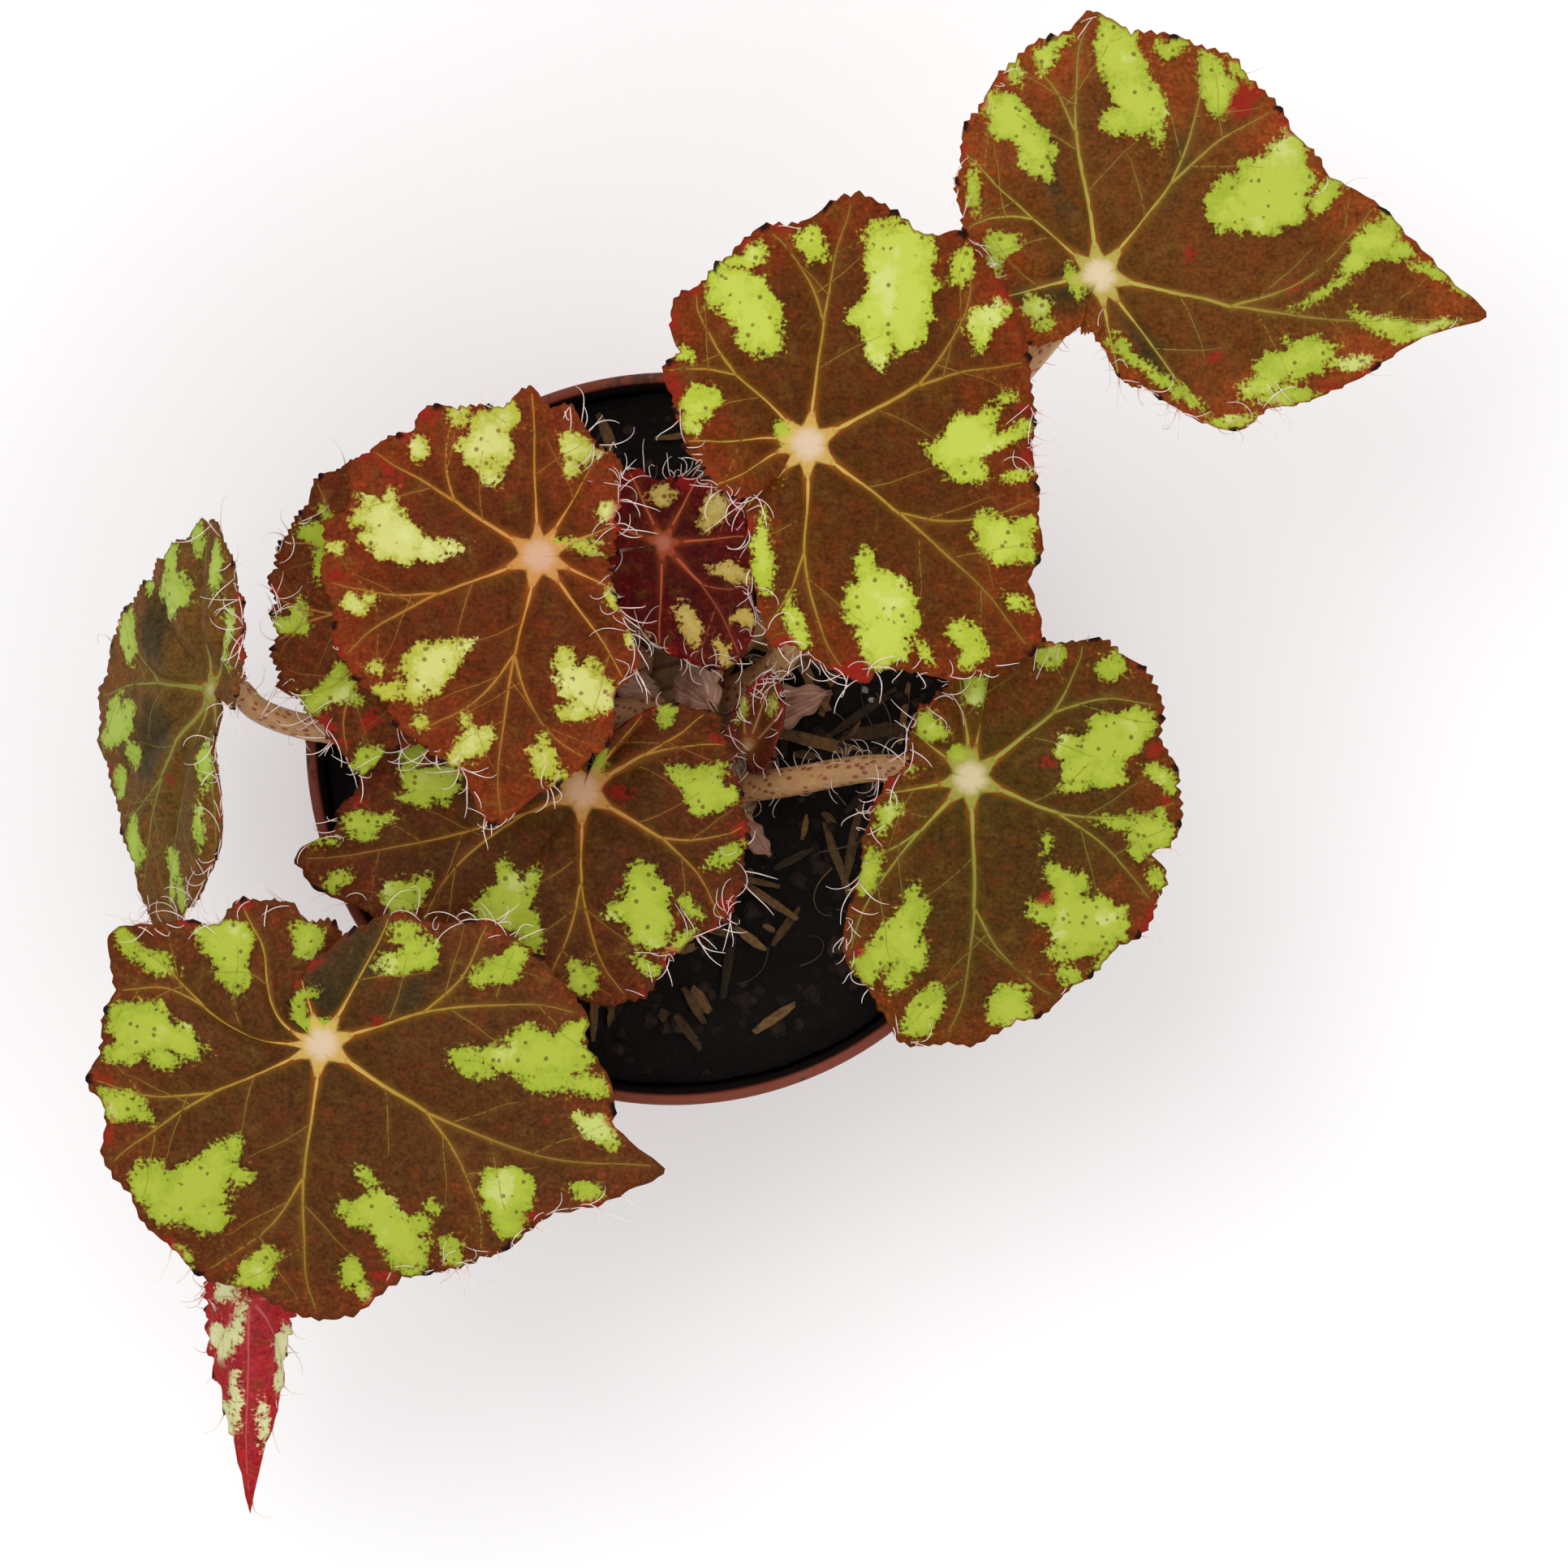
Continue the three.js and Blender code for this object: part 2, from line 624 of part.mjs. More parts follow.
// A pointed scale, hollow towards the stem: its outline is a pointed oval, bent like a spoon.
function stipuleGeometry({ foot, tip, width }) {
  const start = new THREE.Vector3(...foot);
  const along = new THREE.Vector3(...tip).sub(start);
  const across = new THREE.Vector3().crossVectors(along, Z_AXIS).normalize();
  const out = new THREE.Vector3().crossVectors(across, along).normalize();
  const thickness = 0.6;
  const steps = 7;
  const columns = 6;
  const verts = [];
  const faces = [];
  const at = (i, j, side) => (i * (columns + 1) + j) * 2 + side;
  for (let i = 0; i <= steps; i++) {
    const t = i / steps;
    const half = (width / 2) * Math.max(0.08, Math.sin(Math.PI * (0.16 + 0.84 * t)) ** 0.8);
    for (let j = 0; j <= columns; j++) {
      const s = (2 * j) / columns - 1;
      for (const side of [1, 0]) {
        const hollow = -0.35 * width * s * s + 0.3 * width * Math.sin(Math.PI * t * 0.8);
        verts.push(
          start
            .clone()
            .addScaledVector(along, t)
            .addScaledVector(across, s * half)
            .addScaledVector(out, hollow + (side - 0.5) * thickness)
            .toArray(),
        );
      }
    }
  }
  const quad = (a, b, c, d) => faces.push([a, b, c], [a, c, d]);
  for (let i = 0; i < steps; i++) {
    for (let j = 0; j < columns; j++) {
      quad(at(i, j, 0), at(i, j + 1, 0), at(i + 1, j + 1, 0), at(i + 1, j, 0));
      quad(at(i, j, 1), at(i + 1, j, 1), at(i + 1, j + 1, 1), at(i, j + 1, 1));
    }
    quad(at(i, 0, 1), at(i, 0, 0), at(i + 1, 0, 0), at(i + 1, 0, 1));
    quad(at(i, columns, 0), at(i, columns, 1), at(i + 1, columns, 1), at(i + 1, columns, 0));
  }
  for (let j = 0; j < columns; j++) {
    quad(at(0, j, 0), at(0, j, 1), at(0, j + 1, 1), at(0, j + 1, 0));
    quad(at(steps, j, 1), at(steps, j, 0), at(steps, j + 1, 0), at(steps, j + 1, 1));
  }
  return geometryOf(verts, faces);
}

// ---------------------------------------------------------------- peat

// The pot's inside radius at a height.
function insideRadius(z) {
  const p = POT;
  const wallTop = p.height - p.bandHeight;
  const low = p.footRadius - p.wall;
  const shoulder = p.rimRadius - p.lipWidth / 2 - p.bandStep - p.wall;
  const floorTop = p.grooveDepth + p.floor;
  if (z <= wallTop - 0.8) return low + ((z - floorTop) / (wallTop - 0.8 - floorTop)) * (shoulder - low);
  return shoulder + ((z - wallTop + 0.8) / 1.8) * (p.rimRadius - p.lipWidth - 1.2 - shoulder);
}

function peatHeight(x, y) {
  const lumps = Math.sin(x * 0.31 + 1) * Math.cos(y * 0.27) + 0.6 * Math.sin(x * 0.83 - y * 0.71);
  return SOIL.top + SOIL.lump * lumps - 0.0009 * (x * x + y * y);
}

function makePeat() {
  const facet = Math.cos(Math.PI / POT.sides); // the pot is a polygon, so its flats lie closer in
  const edge = (z) => insideRadius(z) * facet - CLEARANCE;
  const neck = POT.height - POT.bandHeight - 0.8;
  const floorTop = POT.grooveDepth + POT.floor + CLEARANCE;
  const n = SOIL.sides;
  const verts = [[0, 0, peatHeight(0, 0)]];
  const ringAt = (r, z) => {
    for (let j = 0; j < n; j++) {
      const a = (j / n) * 2 * Math.PI;
      const x = r * Math.cos(a);
      const y = r * Math.sin(a);
      verts.push([x, y, z ?? peatHeight(x, y)]);
    }
  };
  SOIL.rings.forEach((r) => ringAt(r));
  ringAt(edge(neck), neck + 1.2);
  ringAt(edge(neck), neck);
  ringAt(edge(floorTop), floorTop);
  const bottom = verts.push([0, 0, floorTop]) - 1;
  const rings = SOIL.rings.length + 3;
  const faces = [];
  for (let j = 0; j < n; j++) {
    const k = (j + 1) % n;
    faces.push([0, 1 + j, 1 + k]);
    for (let i = 0; i + 1 < rings; i++) {
      const a = 1 + i * n;
      faces.push([a + j, a + n + j, a + n + k], [a + j, a + n + k, a + k]);
    }
    const low = 1 + (rings - 1) * n;
    faces.push([bottom, low + k, low + j]);
  }
  let peat = solidOf(geometryOf(verts, faces));
  for (let i = 0; i < SOIL.chips; i++) {
    const angle = draw(i) * 2 * Math.PI;
    const r = 16 + 34 * Math.sqrt(draw(i + 40));
    const x = r * Math.cos(angle);
    const y = r * Math.sin(angle);
    const length = 6 + 9 * draw(i + 80);
    const chip = new THREE.BoxGeometry(length, 1.3 + 1.6 * draw(i + 120), 1.4)
      .rotateY(0.3 * (draw(i + 160) - 0.5))
      .rotateZ(draw(i + 200) * Math.PI)
      .translate(x, y, peatHeight(x, y) + 0.1);
    peat = peat.add(solidOf(chip));
  }
  return peat;
}

// ---------------------------------------------------------------- the plant in its pot

// Cuts sockets out of a piece, and leaves away the crumbs that the cuts leave loose.
function cutClear(solid, cutters) {
  const cut = cutters.reduce((rest, cutter) => rest.subtract(cutter), solid);
  return cut.decompose().sort((a, b) => b.volume() - a.volume())[0];
}

const stalkSockets = LEAVES.map((leaf) => solidOf(stalkRod(leaf, CLEARANCE)));
const allSockets = [solidOf(rhizomeRod(CLEARANCE)), ...stalkSockets];

add("pot", geometryFrom(makePot()), PLASTIC);
add("peat", geometryFrom(cutClear(makePeat(), allSockets)), PEAT);
add("rhizome", geometryFrom(cutClear(solidOf(rhizomeRod(0)), stalkSockets)), STEM_GREEN);
for (const leaf of LEAVES) {
  add(`${leaf.name}_stalk`, stalkRod(leaf, 0), STALK_TAN);
  add(`${leaf.name}_blade`, bladeGeometry(leaf), leaf.colour ?? LEAF_BROWN);
}
for (const stipule of STIPULES) {
  add(stipule.name, geometryFrom(cutClear(solidOf(stipuleGeometry(stipule)), allSockets)), PAPERY);
}

export default plant;
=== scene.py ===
# %% [markdown]
# # A begonia in its nursery pot
# The finished model is a small house plant seen from straight above: brown leaves with lime
# blotches, yellow veins and a fringe of pale hairs, on long stalks that rise from a creeping stem
# in a plastic pot of peat. The solids of the frame give every piece its place and size. This
# lesson dresses them, piece by piece, and explains how each look is made.

import math

import bpy
import numpy as np
from mathutils import Matrix, Vector


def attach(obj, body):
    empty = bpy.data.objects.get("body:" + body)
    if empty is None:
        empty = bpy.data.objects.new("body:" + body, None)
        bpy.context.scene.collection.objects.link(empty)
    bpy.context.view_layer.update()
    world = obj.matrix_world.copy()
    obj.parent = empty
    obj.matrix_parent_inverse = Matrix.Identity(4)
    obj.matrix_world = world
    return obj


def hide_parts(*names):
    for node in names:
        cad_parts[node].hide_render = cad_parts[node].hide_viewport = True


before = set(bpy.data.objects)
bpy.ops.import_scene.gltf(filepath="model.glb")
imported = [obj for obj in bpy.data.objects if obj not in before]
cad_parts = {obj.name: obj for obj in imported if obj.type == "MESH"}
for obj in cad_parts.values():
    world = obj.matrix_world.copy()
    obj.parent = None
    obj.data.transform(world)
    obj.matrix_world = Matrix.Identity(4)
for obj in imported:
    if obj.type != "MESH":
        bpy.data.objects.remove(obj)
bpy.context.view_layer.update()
print("solids in the frame:", len(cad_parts))

# %% [markdown]
# ## Units, colours and small tools
# The leaves were measured in millimetres, so the script works in millimetres and multiplies by
# MM at the moment a mesh is written. Colours are picked as screen values from 0 to 255, while a
# shader wants linear light, so srgb() converts them.

# %% Units and colours
MM = 0.001


def srgb(red, green, blue):
    """A screen colour as the linear RGBA that a shader wants."""
    channels = [c / 255 for c in (red, green, blue)]
    linear = [c / 12.92 if c <= 0.04045 else ((c + 0.055) / 1.055) ** 2.4 for c in channels]
    return (*linear, 1.0)


def smooth(x):
    """0 below 0, 1 above 1, and an S-curve between them."""
    t = np.clip(x, 0, 1)
    return t * t * (3 - 2 * t)


def draw(n):
    """The same made-up number from 0 to 1 every time for each n."""
    s = np.sin(n * 127.1 + 311.7) * 43758.5453
    return s - np.floor(s)


print("10 mm are", 10 * MM, "in the file")

# %% Handling pieces


def deselect():
    """Operators act on all that is selected, so each piece starts from an empty selection."""
    if bpy.context.object and bpy.context.object.mode != "OBJECT":
        bpy.ops.object.mode_set(mode="OBJECT")
    bpy.ops.object.select_all(action="DESELECT")


def choose(piece):
    """Makes one piece the selected and active one."""
    deselect()
    piece.select_set(True)
    bpy.context.view_layer.objects.active = piece


def added(operator, **settings):
    """The piece that one of Blender's add operators makes, with nothing else selected."""
    deselect()
    operator(**settings)
    return bpy.context.object


def apply_modifiers(piece):
    """Turns a piece's modifiers into mesh, first to last."""
    choose(piece)
    for modifier in list(piece.modifiers):
        bpy.ops.object.modifier_apply(modifier=modifier.name)


def settle(piece, name, slot, *nodes):
    """Names a piece, bakes its place in, hangs it on the root, hides its solids; slot is unused.
    """
    choose(piece)
    bpy.ops.object.transform_apply(location=True, rotation=True, scale=True)
    piece.name = name
    piece.data.name = name
    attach(piece, "root")
    if nodes:
        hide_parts(*nodes)


def mesh_piece(name, points, faces, attributes=None, uv=None):
    """A mesh object from points in millimetres, with one number per point for each attribute."""
    mesh = bpy.data.meshes.new(name)
    mesh.from_pydata((np.asarray(points) * MM).tolist(), [], faces)
    for key, values in (attributes or {}).items():
        layer = mesh.attributes.new(key, "FLOAT", "POINT")
        layer.data.foreach_set("value", np.asarray(values, dtype=np.float32))
    if uv is not None:
        corners = np.empty(len(mesh.loops), dtype=np.int32)
        mesh.loops.foreach_get("vertex_index", corners)
        layer = mesh.uv_layers.new(name="UVMap")
        layer.data.foreach_set("uv", np.asarray(uv, dtype=np.float32)[corners].ravel())
    mesh.validate()
    mesh.shade_smooth()
    piece = bpy.data.objects.new(name, mesh)
    bpy.context.scene.collection.objects.link(piece)
    return piece


print("tools for pieces ready")

# %% [markdown]
# ## Shader maths in Python
# A procedural material is a formula: noise here, a threshold there, a blend at the end. Written
# as nodes it is long. Value wraps a node's output and overloads + - *, so a formula reads as a
# formula and still becomes Math nodes. Every other node comes from Paint.node().

# %% Values that can be added and multiplied


class Value:
    """A node's output that takes part in arithmetic."""

    def __init__(self, paint, socket):
        self.paint = paint
        self.socket = socket

    def math(self, operation, *others):
        """A Math node that has this value as its first input."""
        inputs = dict(enumerate((self, *others)))
        return self.paint.node("Math", {"operation": operation}, inputs)

    def __add__(self, other):
        return self.math("ADD", other)

    def __sub__(self, other):
        return self.math("SUBTRACT", other)

    def __rsub__(self, other):
        return self.math("MULTIPLY_ADD", -1.0, other)

    def __mul__(self, other):
        return self.math("MULTIPLY", other)

    __radd__ = __add__

    def step(self, low, high):
        """0 up to low, 1 from high on, smooth between."""
        settings = {"interpolation_type": "SMOOTHSTEP"}
        inputs = {"Value": self, "From Min": low, "From Max": high}
        return self.paint.node("MapRange", settings, inputs)


print("values ready")

# %% A material and its nodes


class Paint:
    """A new Principled material and the one method that adds nodes to it."""

    def __init__(self, name, roughness=0.5, **constants):
        self.material = bpy.data.materials.new(name)
        self.material.use_nodes = True
        self.tree = self.material.node_tree
        self.shader = self.tree.nodes["Principled BSDF"]
        self.shader.inputs["Roughness"].default_value = roughness
        for key, value in constants.items():
            self.shader.inputs[key.replace("_", " ")].default_value = value

    def feed(self, socket, value):
        """Links a Value to a socket, or sets the socket to a plain number or colour."""
        if isinstance(value, Value):
            self.tree.links.new(value.socket, socket)
        else:
            socket.default_value = value

    def node(self, kind, settings=None, inputs=None, output=0):
        """Any node: its type, its settings, what goes into its sockets and which one comes out."""
        made = self.tree.nodes.new("ShaderNode" + kind)
        for key, value in (settings or {}).items():
            setattr(made, key, value)
        for key, value in (inputs or {}).items():
            self.feed(made.inputs[key], value)
        return Value(self, made.outputs[output])

    def attribute(self, name):
        """A number that was stored on the points of the mesh."""
        return self.node("Attribute", {"attribute_name": name}, output="Fac")

    def place(self, output="Object"):
        """Where a point lies: on the object, or with UV on its painting plane."""
        return self.node("TexCoord", output=output)

    def noise(self, where, scale, detail=3.0, rough=0.5):
        """Cloudy noise; scale counts blobs per unit of the coordinate."""
        inputs = {"Vector": where, "Scale": scale, "Detail": detail, "Roughness": rough}
        return self.node("TexNoise", None, inputs)

    def mix(self, factor, low, high):
        """The colour low where factor is 0 and high where it is 1."""
        inputs = {"Factor": factor, 6: low, 7: high}
        return self.node("Mix", {"data_type": "RGBA"}, inputs, output=2)

    def bump(self, height, distance, strength=1.0):
        """Tilts the light on the surface as if it had this relief, distance metres deep."""
        inputs = {"Height": height, "Distance": distance, "Strength": strength}
        normal = self.node("Bump", None, inputs)
        self.feed(self.shader.inputs["Normal"], normal)

    def colour(self, value):
        self.feed(self.shader.inputs["Base Color"], value)


print("materials ready")

# %% [markdown]
# ## The leaves as data
# Each leaf was measured round the point where its stalk meets the blade, because a begonia's
# veins all start there. A direction is a bearing in degrees, counted anticlockwise from +X as
# seen from above, and it keeps counting past 360 until it has gone round the blade, so a leaf
# whose two lobes overlap is no problem.
#
# - at: where the stalk meets the blade; lean: the bearing and the degrees it leans down by
# - outline: (bearing, distance to the edge); sinus: the bearing of the slit between the lobes
# - ribs: the bearings of the valleys between the blade's puffed-up parts
# - droop and lift: how far the edge hangs, and how far one lobe rises above the other
# - stalk: the points of its stalk, from the creeping stem up
# - veins: (bearing at the stalk, distance to the fork or 0, bearings where the branches end)
# - blotches: (x, y, half length, half width, turn in degrees), ellipses that overlap into ragged
#   shapes; a last 1 puts one on the lobe that has come full circle and laps over the other
# - reds and painted_shadows: wine-red spots and dark green painted shade, written as the blotches
# - fold: the rib along which a young blade is folded: its bearing, the radius and the degrees of
#   the fold, and 1 for a channel or -1 for a keel
#
# What the grown leaves have in common is written once, in GROWN, and the three small ones change
# some of it in YOUNG. A leaf that differs names its own value.
#
# The measures are those of the solids. Only a few slits and the two small folded outlines are
# drawn a little finer here.

# %% What the leaves have in common
GROWN = dict(
    teeth=24, tooth=1, saw=120,  # number and size of its large teeth, number of the fine ones
    bowl=1.8, puff=1.7, wave=1.1,  # how high it rises, puffs up and waves
    star=1, vein=1,  # size of its pink star, and of its veins
    hairs=0.8, hair_size=1,  # hairs to the millimetre of fringe
    stalk_size=1, neck=5,  # thickness of its stalk, and how straight it meets the blade
    columns=480, rings=50,  # the net of its mesh
    reds=[], painted_shadows=[], fold=None, keel_up=False,
)
YOUNG = dict(
    GROWN, teeth=12, tooth=0.5, saw=60, bowl=0.54, puff=0.5, wave=0.3, vein=0.6,
    hairs=1.1, hair_size=0.8, stalk_size=0.62, neck=3, columns=240, rings=34,
)
print("common values:", len(GROWN))

# %% The eleven leaves
LEAVES = [
    dict(
        GROWN, name="leaf_upper_right", at=(69.6, 75.4, 132), lean=(340, 11), sinus=247,
        outline=[
            (247, 8.8), (258, 9.5), (270, 10.5), (285, 18), (298, 22.5), (306, 30.5),
            (314, 34.5), (325, 37.5),
            (337, 46.5), (345, 51.5), (350, 58), (353.5, 66.5), (358, 60), (367, 52.5),
            (377, 45.5), (386, 41), (405, 40.5), (421, 41.5), (437, 40.5), (447, 41), (452, 43),
            (459, 40), (469, 39), (480, 35.5), (491, 33), (502, 29.5), (514, 26.5), (525, 23),
            (540, 19.5), (560, 18.5), (575, 17), (588, 15), (599, 11), (607, 8.8),
        ],
        ribs=[276, 309, 350, 412, 462, 500, 540, 575], droop=4, lift=1.4,
        stalk=[(7, 13, 88), (18, 22, 103), (42, 44, 114), (62, 66, 121)],
        veins=[
            (347, 22.5, (353, 373)), (412, 19, (425, 403)), (460, 24, (468, 453)),
            (500, 14.5, (498, 520)), (548, 0, (552,)), (306, 0, (308,)), (278, 0, (282,)),
        ],
        blotches=[
            (28.5, 13.5, 7, 6.3, 45), (31.5, 19.5, 5.5, 3, 60), (22, 10.3, 5, 3.4, 160),
            (20.5, 15, 2, 1.2, 40), (3.5, 36, 6, 3.7, 100), (6, 28.5, 6.5, 3.5, 105),
            (2.7, 25, 2.5, 2, 0), (9.2, 23.5, 2, 0.9, 100), (3, 41, 3, 1.4, 150),
            (-15.5, 26, 5, 3.4, 130), (-12, 22, 5.5, 2.8, 120), (-10, 18, 2.5, 1.5, 115),
            (19, 31, 5, 2.6, 110), (19.5, 27.8, 2.2, 2, 0), (23.5, 33, 2.2, 0.9, 130),
            (12, 37, 2.5, 1.4, 20), (-9, 35.5, 2.5, 1.5, 60), (-7, 38, 2, 0.9, 20),
            (-14, 33.5, 2, 1.1, 100), (-21, 14, 3, 1.1, 90), (-16.5, 5.5, 2.6, 2.3, 0),
            (-17.5, 2, 2, 1, 90), (-11, -5, 2, 1.8, 0), (-9.5, -7.5, 1.4, 0.9, 0),
            (37.5, 12.5, 2.8, 1.7, 60), (40.5, 15, 1.5, 1.1, 0), (46.5, 5.5, 4, 2.7, 30),
            (43, 2, 3.5, 2.1, 40), (50, 3.5, 3, 1.5, 0), (38, -2.5, 5, 0.6, 30),
            (49, 8.5, 2, 0.9, -30), (56, 0.3, 3, 0.9, -20), (61, -2.5, 2.5, 0.7, -30),
            (49.5, -9, 4, 2.1, -10), (55, -9.5, 3, 1.4, 10), (58.5, -8.5, 2, 0.8, 20),
            (45, -7.5, 2.5, 0.9, -30), (33, -14, 6.5, 3.2, 15), (28, -17, 5, 2.2, 30),
            (32, -20, 5, 1.5, 5), (42, -14.5, 4, 0.9, 0), (22, -24, 4, 0.9, 10),
            (9, -16, 7, 0.9, -35), (4.5, -12.5, 3, 0.7, -50), (15, -20, 3, 0.8, -40),
            (-4, -1, 2.6, 1.3, -60),
        ],
        reds=[
            (24, 28.5, 4, 2.5, 40), (14.8, 3.5, 1.6, 1.1, 90), (19, -13.3, 1.3, 0.8, 0),
            (33, -1.7, 2.2, 0.8, 10), (39, -18.5, 2.5, 1, 0),
        ],
        painted_shadows=[
            (-8, -3, 7, 3, 170), (-9, 18, 9, 1.6, 110), (8, -12, 8, 2.4, 130),
            (13, 18, 7, 1.6, 80),
        ],
    ),
    dict(
        GROWN, name="leaf_upper_middle", at=(22.2, 47.8, 150), lean=(320, 6), sinus=203,
        outline=[
            (200, 8), (219, 13), (238, 18.5), (246, 23), (256, 29), (260, 34), (267.5, 33),
            (274.5, 36.5), (283, 40), (288, 38.5), (298, 43), (310, 48.5), (320, 50), (329, 43),
            (337, 41.5), (346, 39), (355, 37), (368, 37.3), (379, 38.5), (396, 40.3), (414, 42),
            (419, 39.5), (432, 40.5), (440, 41.7), (448, 37), (458, 36.4), (470, 34.5),
            (481, 31.5), (490, 32.3), (500, 29.4), (505, 26.5), (515, 26.4), (526, 22),
            (537, 20.7), (552, 18), (566, 16.6), (578, 13.5), (584, 9),
        ],
        ribs=[222, 267, 324, 390, 443, 497, 539, 565], droop=4, lift=1.8,
        stalk=[(9, 7, 88), (17, 12, 98), (23, 26, 120), (23, 42, 140)],
        veins=[
            (443, 20.3, (460, 440)), (497, 16.4, (487, 512)), (388, 20.3, (408, 380)),
            (323, 18.7, (346, 318)), (267.5, 17.6, (258, 279)), (538, 0, (538,)),
            (225, 0, (225,)), (565, 0, (562,)),
        ],
        blotches=[
            (-11.5, 24.5, 5.5, 4, 150), (-8.5, 20.5, 5.5, 4, 115), (-9, 16.5, 2, 2, 0),
            (-14.5, 26.5, 2.5, 1.6, 150), (-9, 30.5, 2.5, 1.5, 40), (-11.5, 29.8, 1.5, 1, 0),
            (0.3, 33, 2.6, 1.8, 100), (1.3, 31.5, 1.8, 1.3, 0), (14.5, 30, 5.5, 5, 90),
            (12, 32.5, 3.5, 2.6, 110), (17.8, 32.5, 4, 2.2, 110), (15, 23.5, 6.5, 5.5, 80),
            (10, 21, 3.5, 2.8, 60), (11, 16.5, 4, 2.4, 110), (16, 18.5, 3.5, 3, 60),
            (25, 28.5, 3.2, 1.9, 65), (14, 36.3, 1, 0.8, 0), (29, 20.5, 3.6, 1.8, 25),
            (28.3, 17.5, 2.2, 1.3, 75), (32.5, 22, 2, 1, 20), (26, 0.8, 5.5, 4.6, 20),
            (22.5, -1, 3.2, 2, 170), (26, -4.3, 3, 1.8, 0), (32, 0.8, 3.5, 1.3, 15),
            (34.8, 2.5, 1.6, 1, 30), (32, 7.2, 1.6, 0.9, 20), (34, -5.2, 1.8, 0.9, 10),
            (31.5, -15.5, 5, 3.5, 160), (28.5, -12.5, 2.2, 1.8, 60), (35, -13.5, 2, 1.3, 0),
            (36, -18.5, 1.3, 1, 0), (34.5, -26, 2.3, 1.2, 160), (9.5, -20, 2.8, 1.6, 100),
            (12.5, -25.5, 5.5, 4.5, 130), (9, -26, 3.6, 3, 120), (12.5, -32, 4.6, 4, 120),
            (14, -29, 4, 3.6, 90), (25.5, -31, 2.6, 2, 150), (27.5, -33.5, 2.2, 1.7, 140),
            (26, -34.8, 1.8, 1.4, 90), (19.3, -34, 1.6, 0.8, 120), (-2, -29, 3.8, 1.5, 105),
            (-0.8, -31.5, 2.2, 1.3, 100), (-7.5, -19, 5, 1.7, 95), (-7.5, -15, 2.8, 0.9, 90),
            (-18, 6.5, 3, 2.6, 60), (-19.5, 3.2, 1.8, 1.3, 150), (-16, 7.5, 1.5, 1.5, 0),
            (-20.5, 15, 2, 1, 160), (-4, 1, 2.4, 1.5, 120), (-7, -2, 3, 0.9, 120),
            (-15, -4, 2, 1, 0), (-12, -4.5, 1.5, 1, 60),
        ],
        reds=[
            (7.5, -37, 3, 2, 0), (-19, 25, 2, 1, 40), (-22.5, 19.3, 1.4, 0.9, 0),
            (-22, 10, 3, 1.2, 110), (35.5, 5.5, 1.6, 1, 0), (35.5, -2, 1.6, 1.2, 0),
            (-4, -32, 1.5, 0.9, 0),
        ],
    ),
    dict(
        GROWN, name="leaf_left_centre", at=(-21.6, 29.7, 139), lean=(255, 9), sinus=359,
        outline=[
            (-3, 11), (8, 12.5), (17, 13.6), (31, 15), (43, 18.5), (53, 20.8), (64, 21),
            (77, 25.3), (86, 25),
            (92, 27.5), (105, 25.5), (121, 29), (130, 30.7), (136, 29.4), (150, 33.3),
            (168, 32.5), (171, 34.9), (186, 35.2), (197, 35), (206, 37), (215, 35.8),
            (224, 35.3), (243, 37.3), (251, 38.2), (256, 43.4), (261, 45), (265, 42.3),
            (273, 38.2), (282, 35), (291, 32), (298, 26.3), (305, 24.7), (315, 23.5),
            (321, 18.8), (337, 13.4), (350, 12.2), (361, 11),
        ],
        ribs=[20, 57, 91, 145, 200, 256, 311, 342], droop=3, lift=1.2,
        stalk=[(-4, 19, 88), (-9, 22, 103), (-17, 27, 121), (-21, 29, 131)],
        veins=[
            (92, 0, (92,)), (58, 0, (60,)), (146, 16.5, (118, 148)), (200, 17.4, (187, 207)),
            (256, 16.5, (235, 261, 282)), (310, 0, (305,)), (22, 0, (24,)), (340, 0, (338,)),
        ],
        blotches=[
            (-8, 19, 4.2, 3.8, 90), (-6, 22.5, 3, 2.6, 60), (-7.5, 14, 2.2, 1.4, 90),
            (-13, 23.3, 1.8, 1.5, 0), (-19.3, 17.8, 2, 1.7, 100), (6.3, 17.8, 2.8, 2, 150),
            (5.2, 15, 1.6, 1.2, 90), (8.5, 17, 1.5, 1, 0), (11.2, 7.6, 1.7, 1.3, 0),
            (13, 8, 1, 0.7, 30), (-25, 5.5, 4.8, 3.6, 130), (-22.5, 2.5, 4.2, 3.2, 170),
            (-17.5, 1.5, 3, 1.7, 10), (-14, 1.5, 1.8, 0.9, 20), (-24, 8.8, 1.8, 1.2, 60),
            (-28.5, 6, 1.8, 1.5, 0), (-33, 1.5, 1.4, 0.9, 0), (-29.8, -8, 2, 1.6, 150),
            (-27.5, -7, 1.3, 0.8, 0), (-17, -17.5, 5.5, 3.3, 35), (-19, -20.5, 4.5, 2.5, 25),
            (-24, -22.3, 3.5, 1.2, 10), (-13, -14.8, 2.2, 1.2, 30), (-18.8, -15, 1.3, 1.2, 90),
            (-26.5, -18.5, 1.3, 0.8, 0), (-19.3, -27, 1.4, 1, 90), (-11, -31, 3.4, 2.5, 30),
            (-9, -29.8, 2, 1.6, 60), (-14, -33.5, 2, 1.3, 50), (-12, -27.3, 1, 0.8, 90),
            (0.8, -33.5, 2.8, 2, 110), (0.8, -30, 1.2, 0.9, 90), (3, -36.2, 1.4, 1, 30),
            (7.5, -21.5, 4, 3.8, 0), (5, -18.5, 3, 2, 160), (11, -22.5, 2.5, 2.3, 100),
            (6, -25, 2.6, 1.6, 0), (4.5, -16, 1.6, 1.3, 60), (8.5, -17.5, 1.2, 1, 0),
            (15.4, -13, 1.6, 1.2, 90), (12.8, -6.3, 2, 1.4, 130), (9, 0.3, 2.2, 0.8, 150),
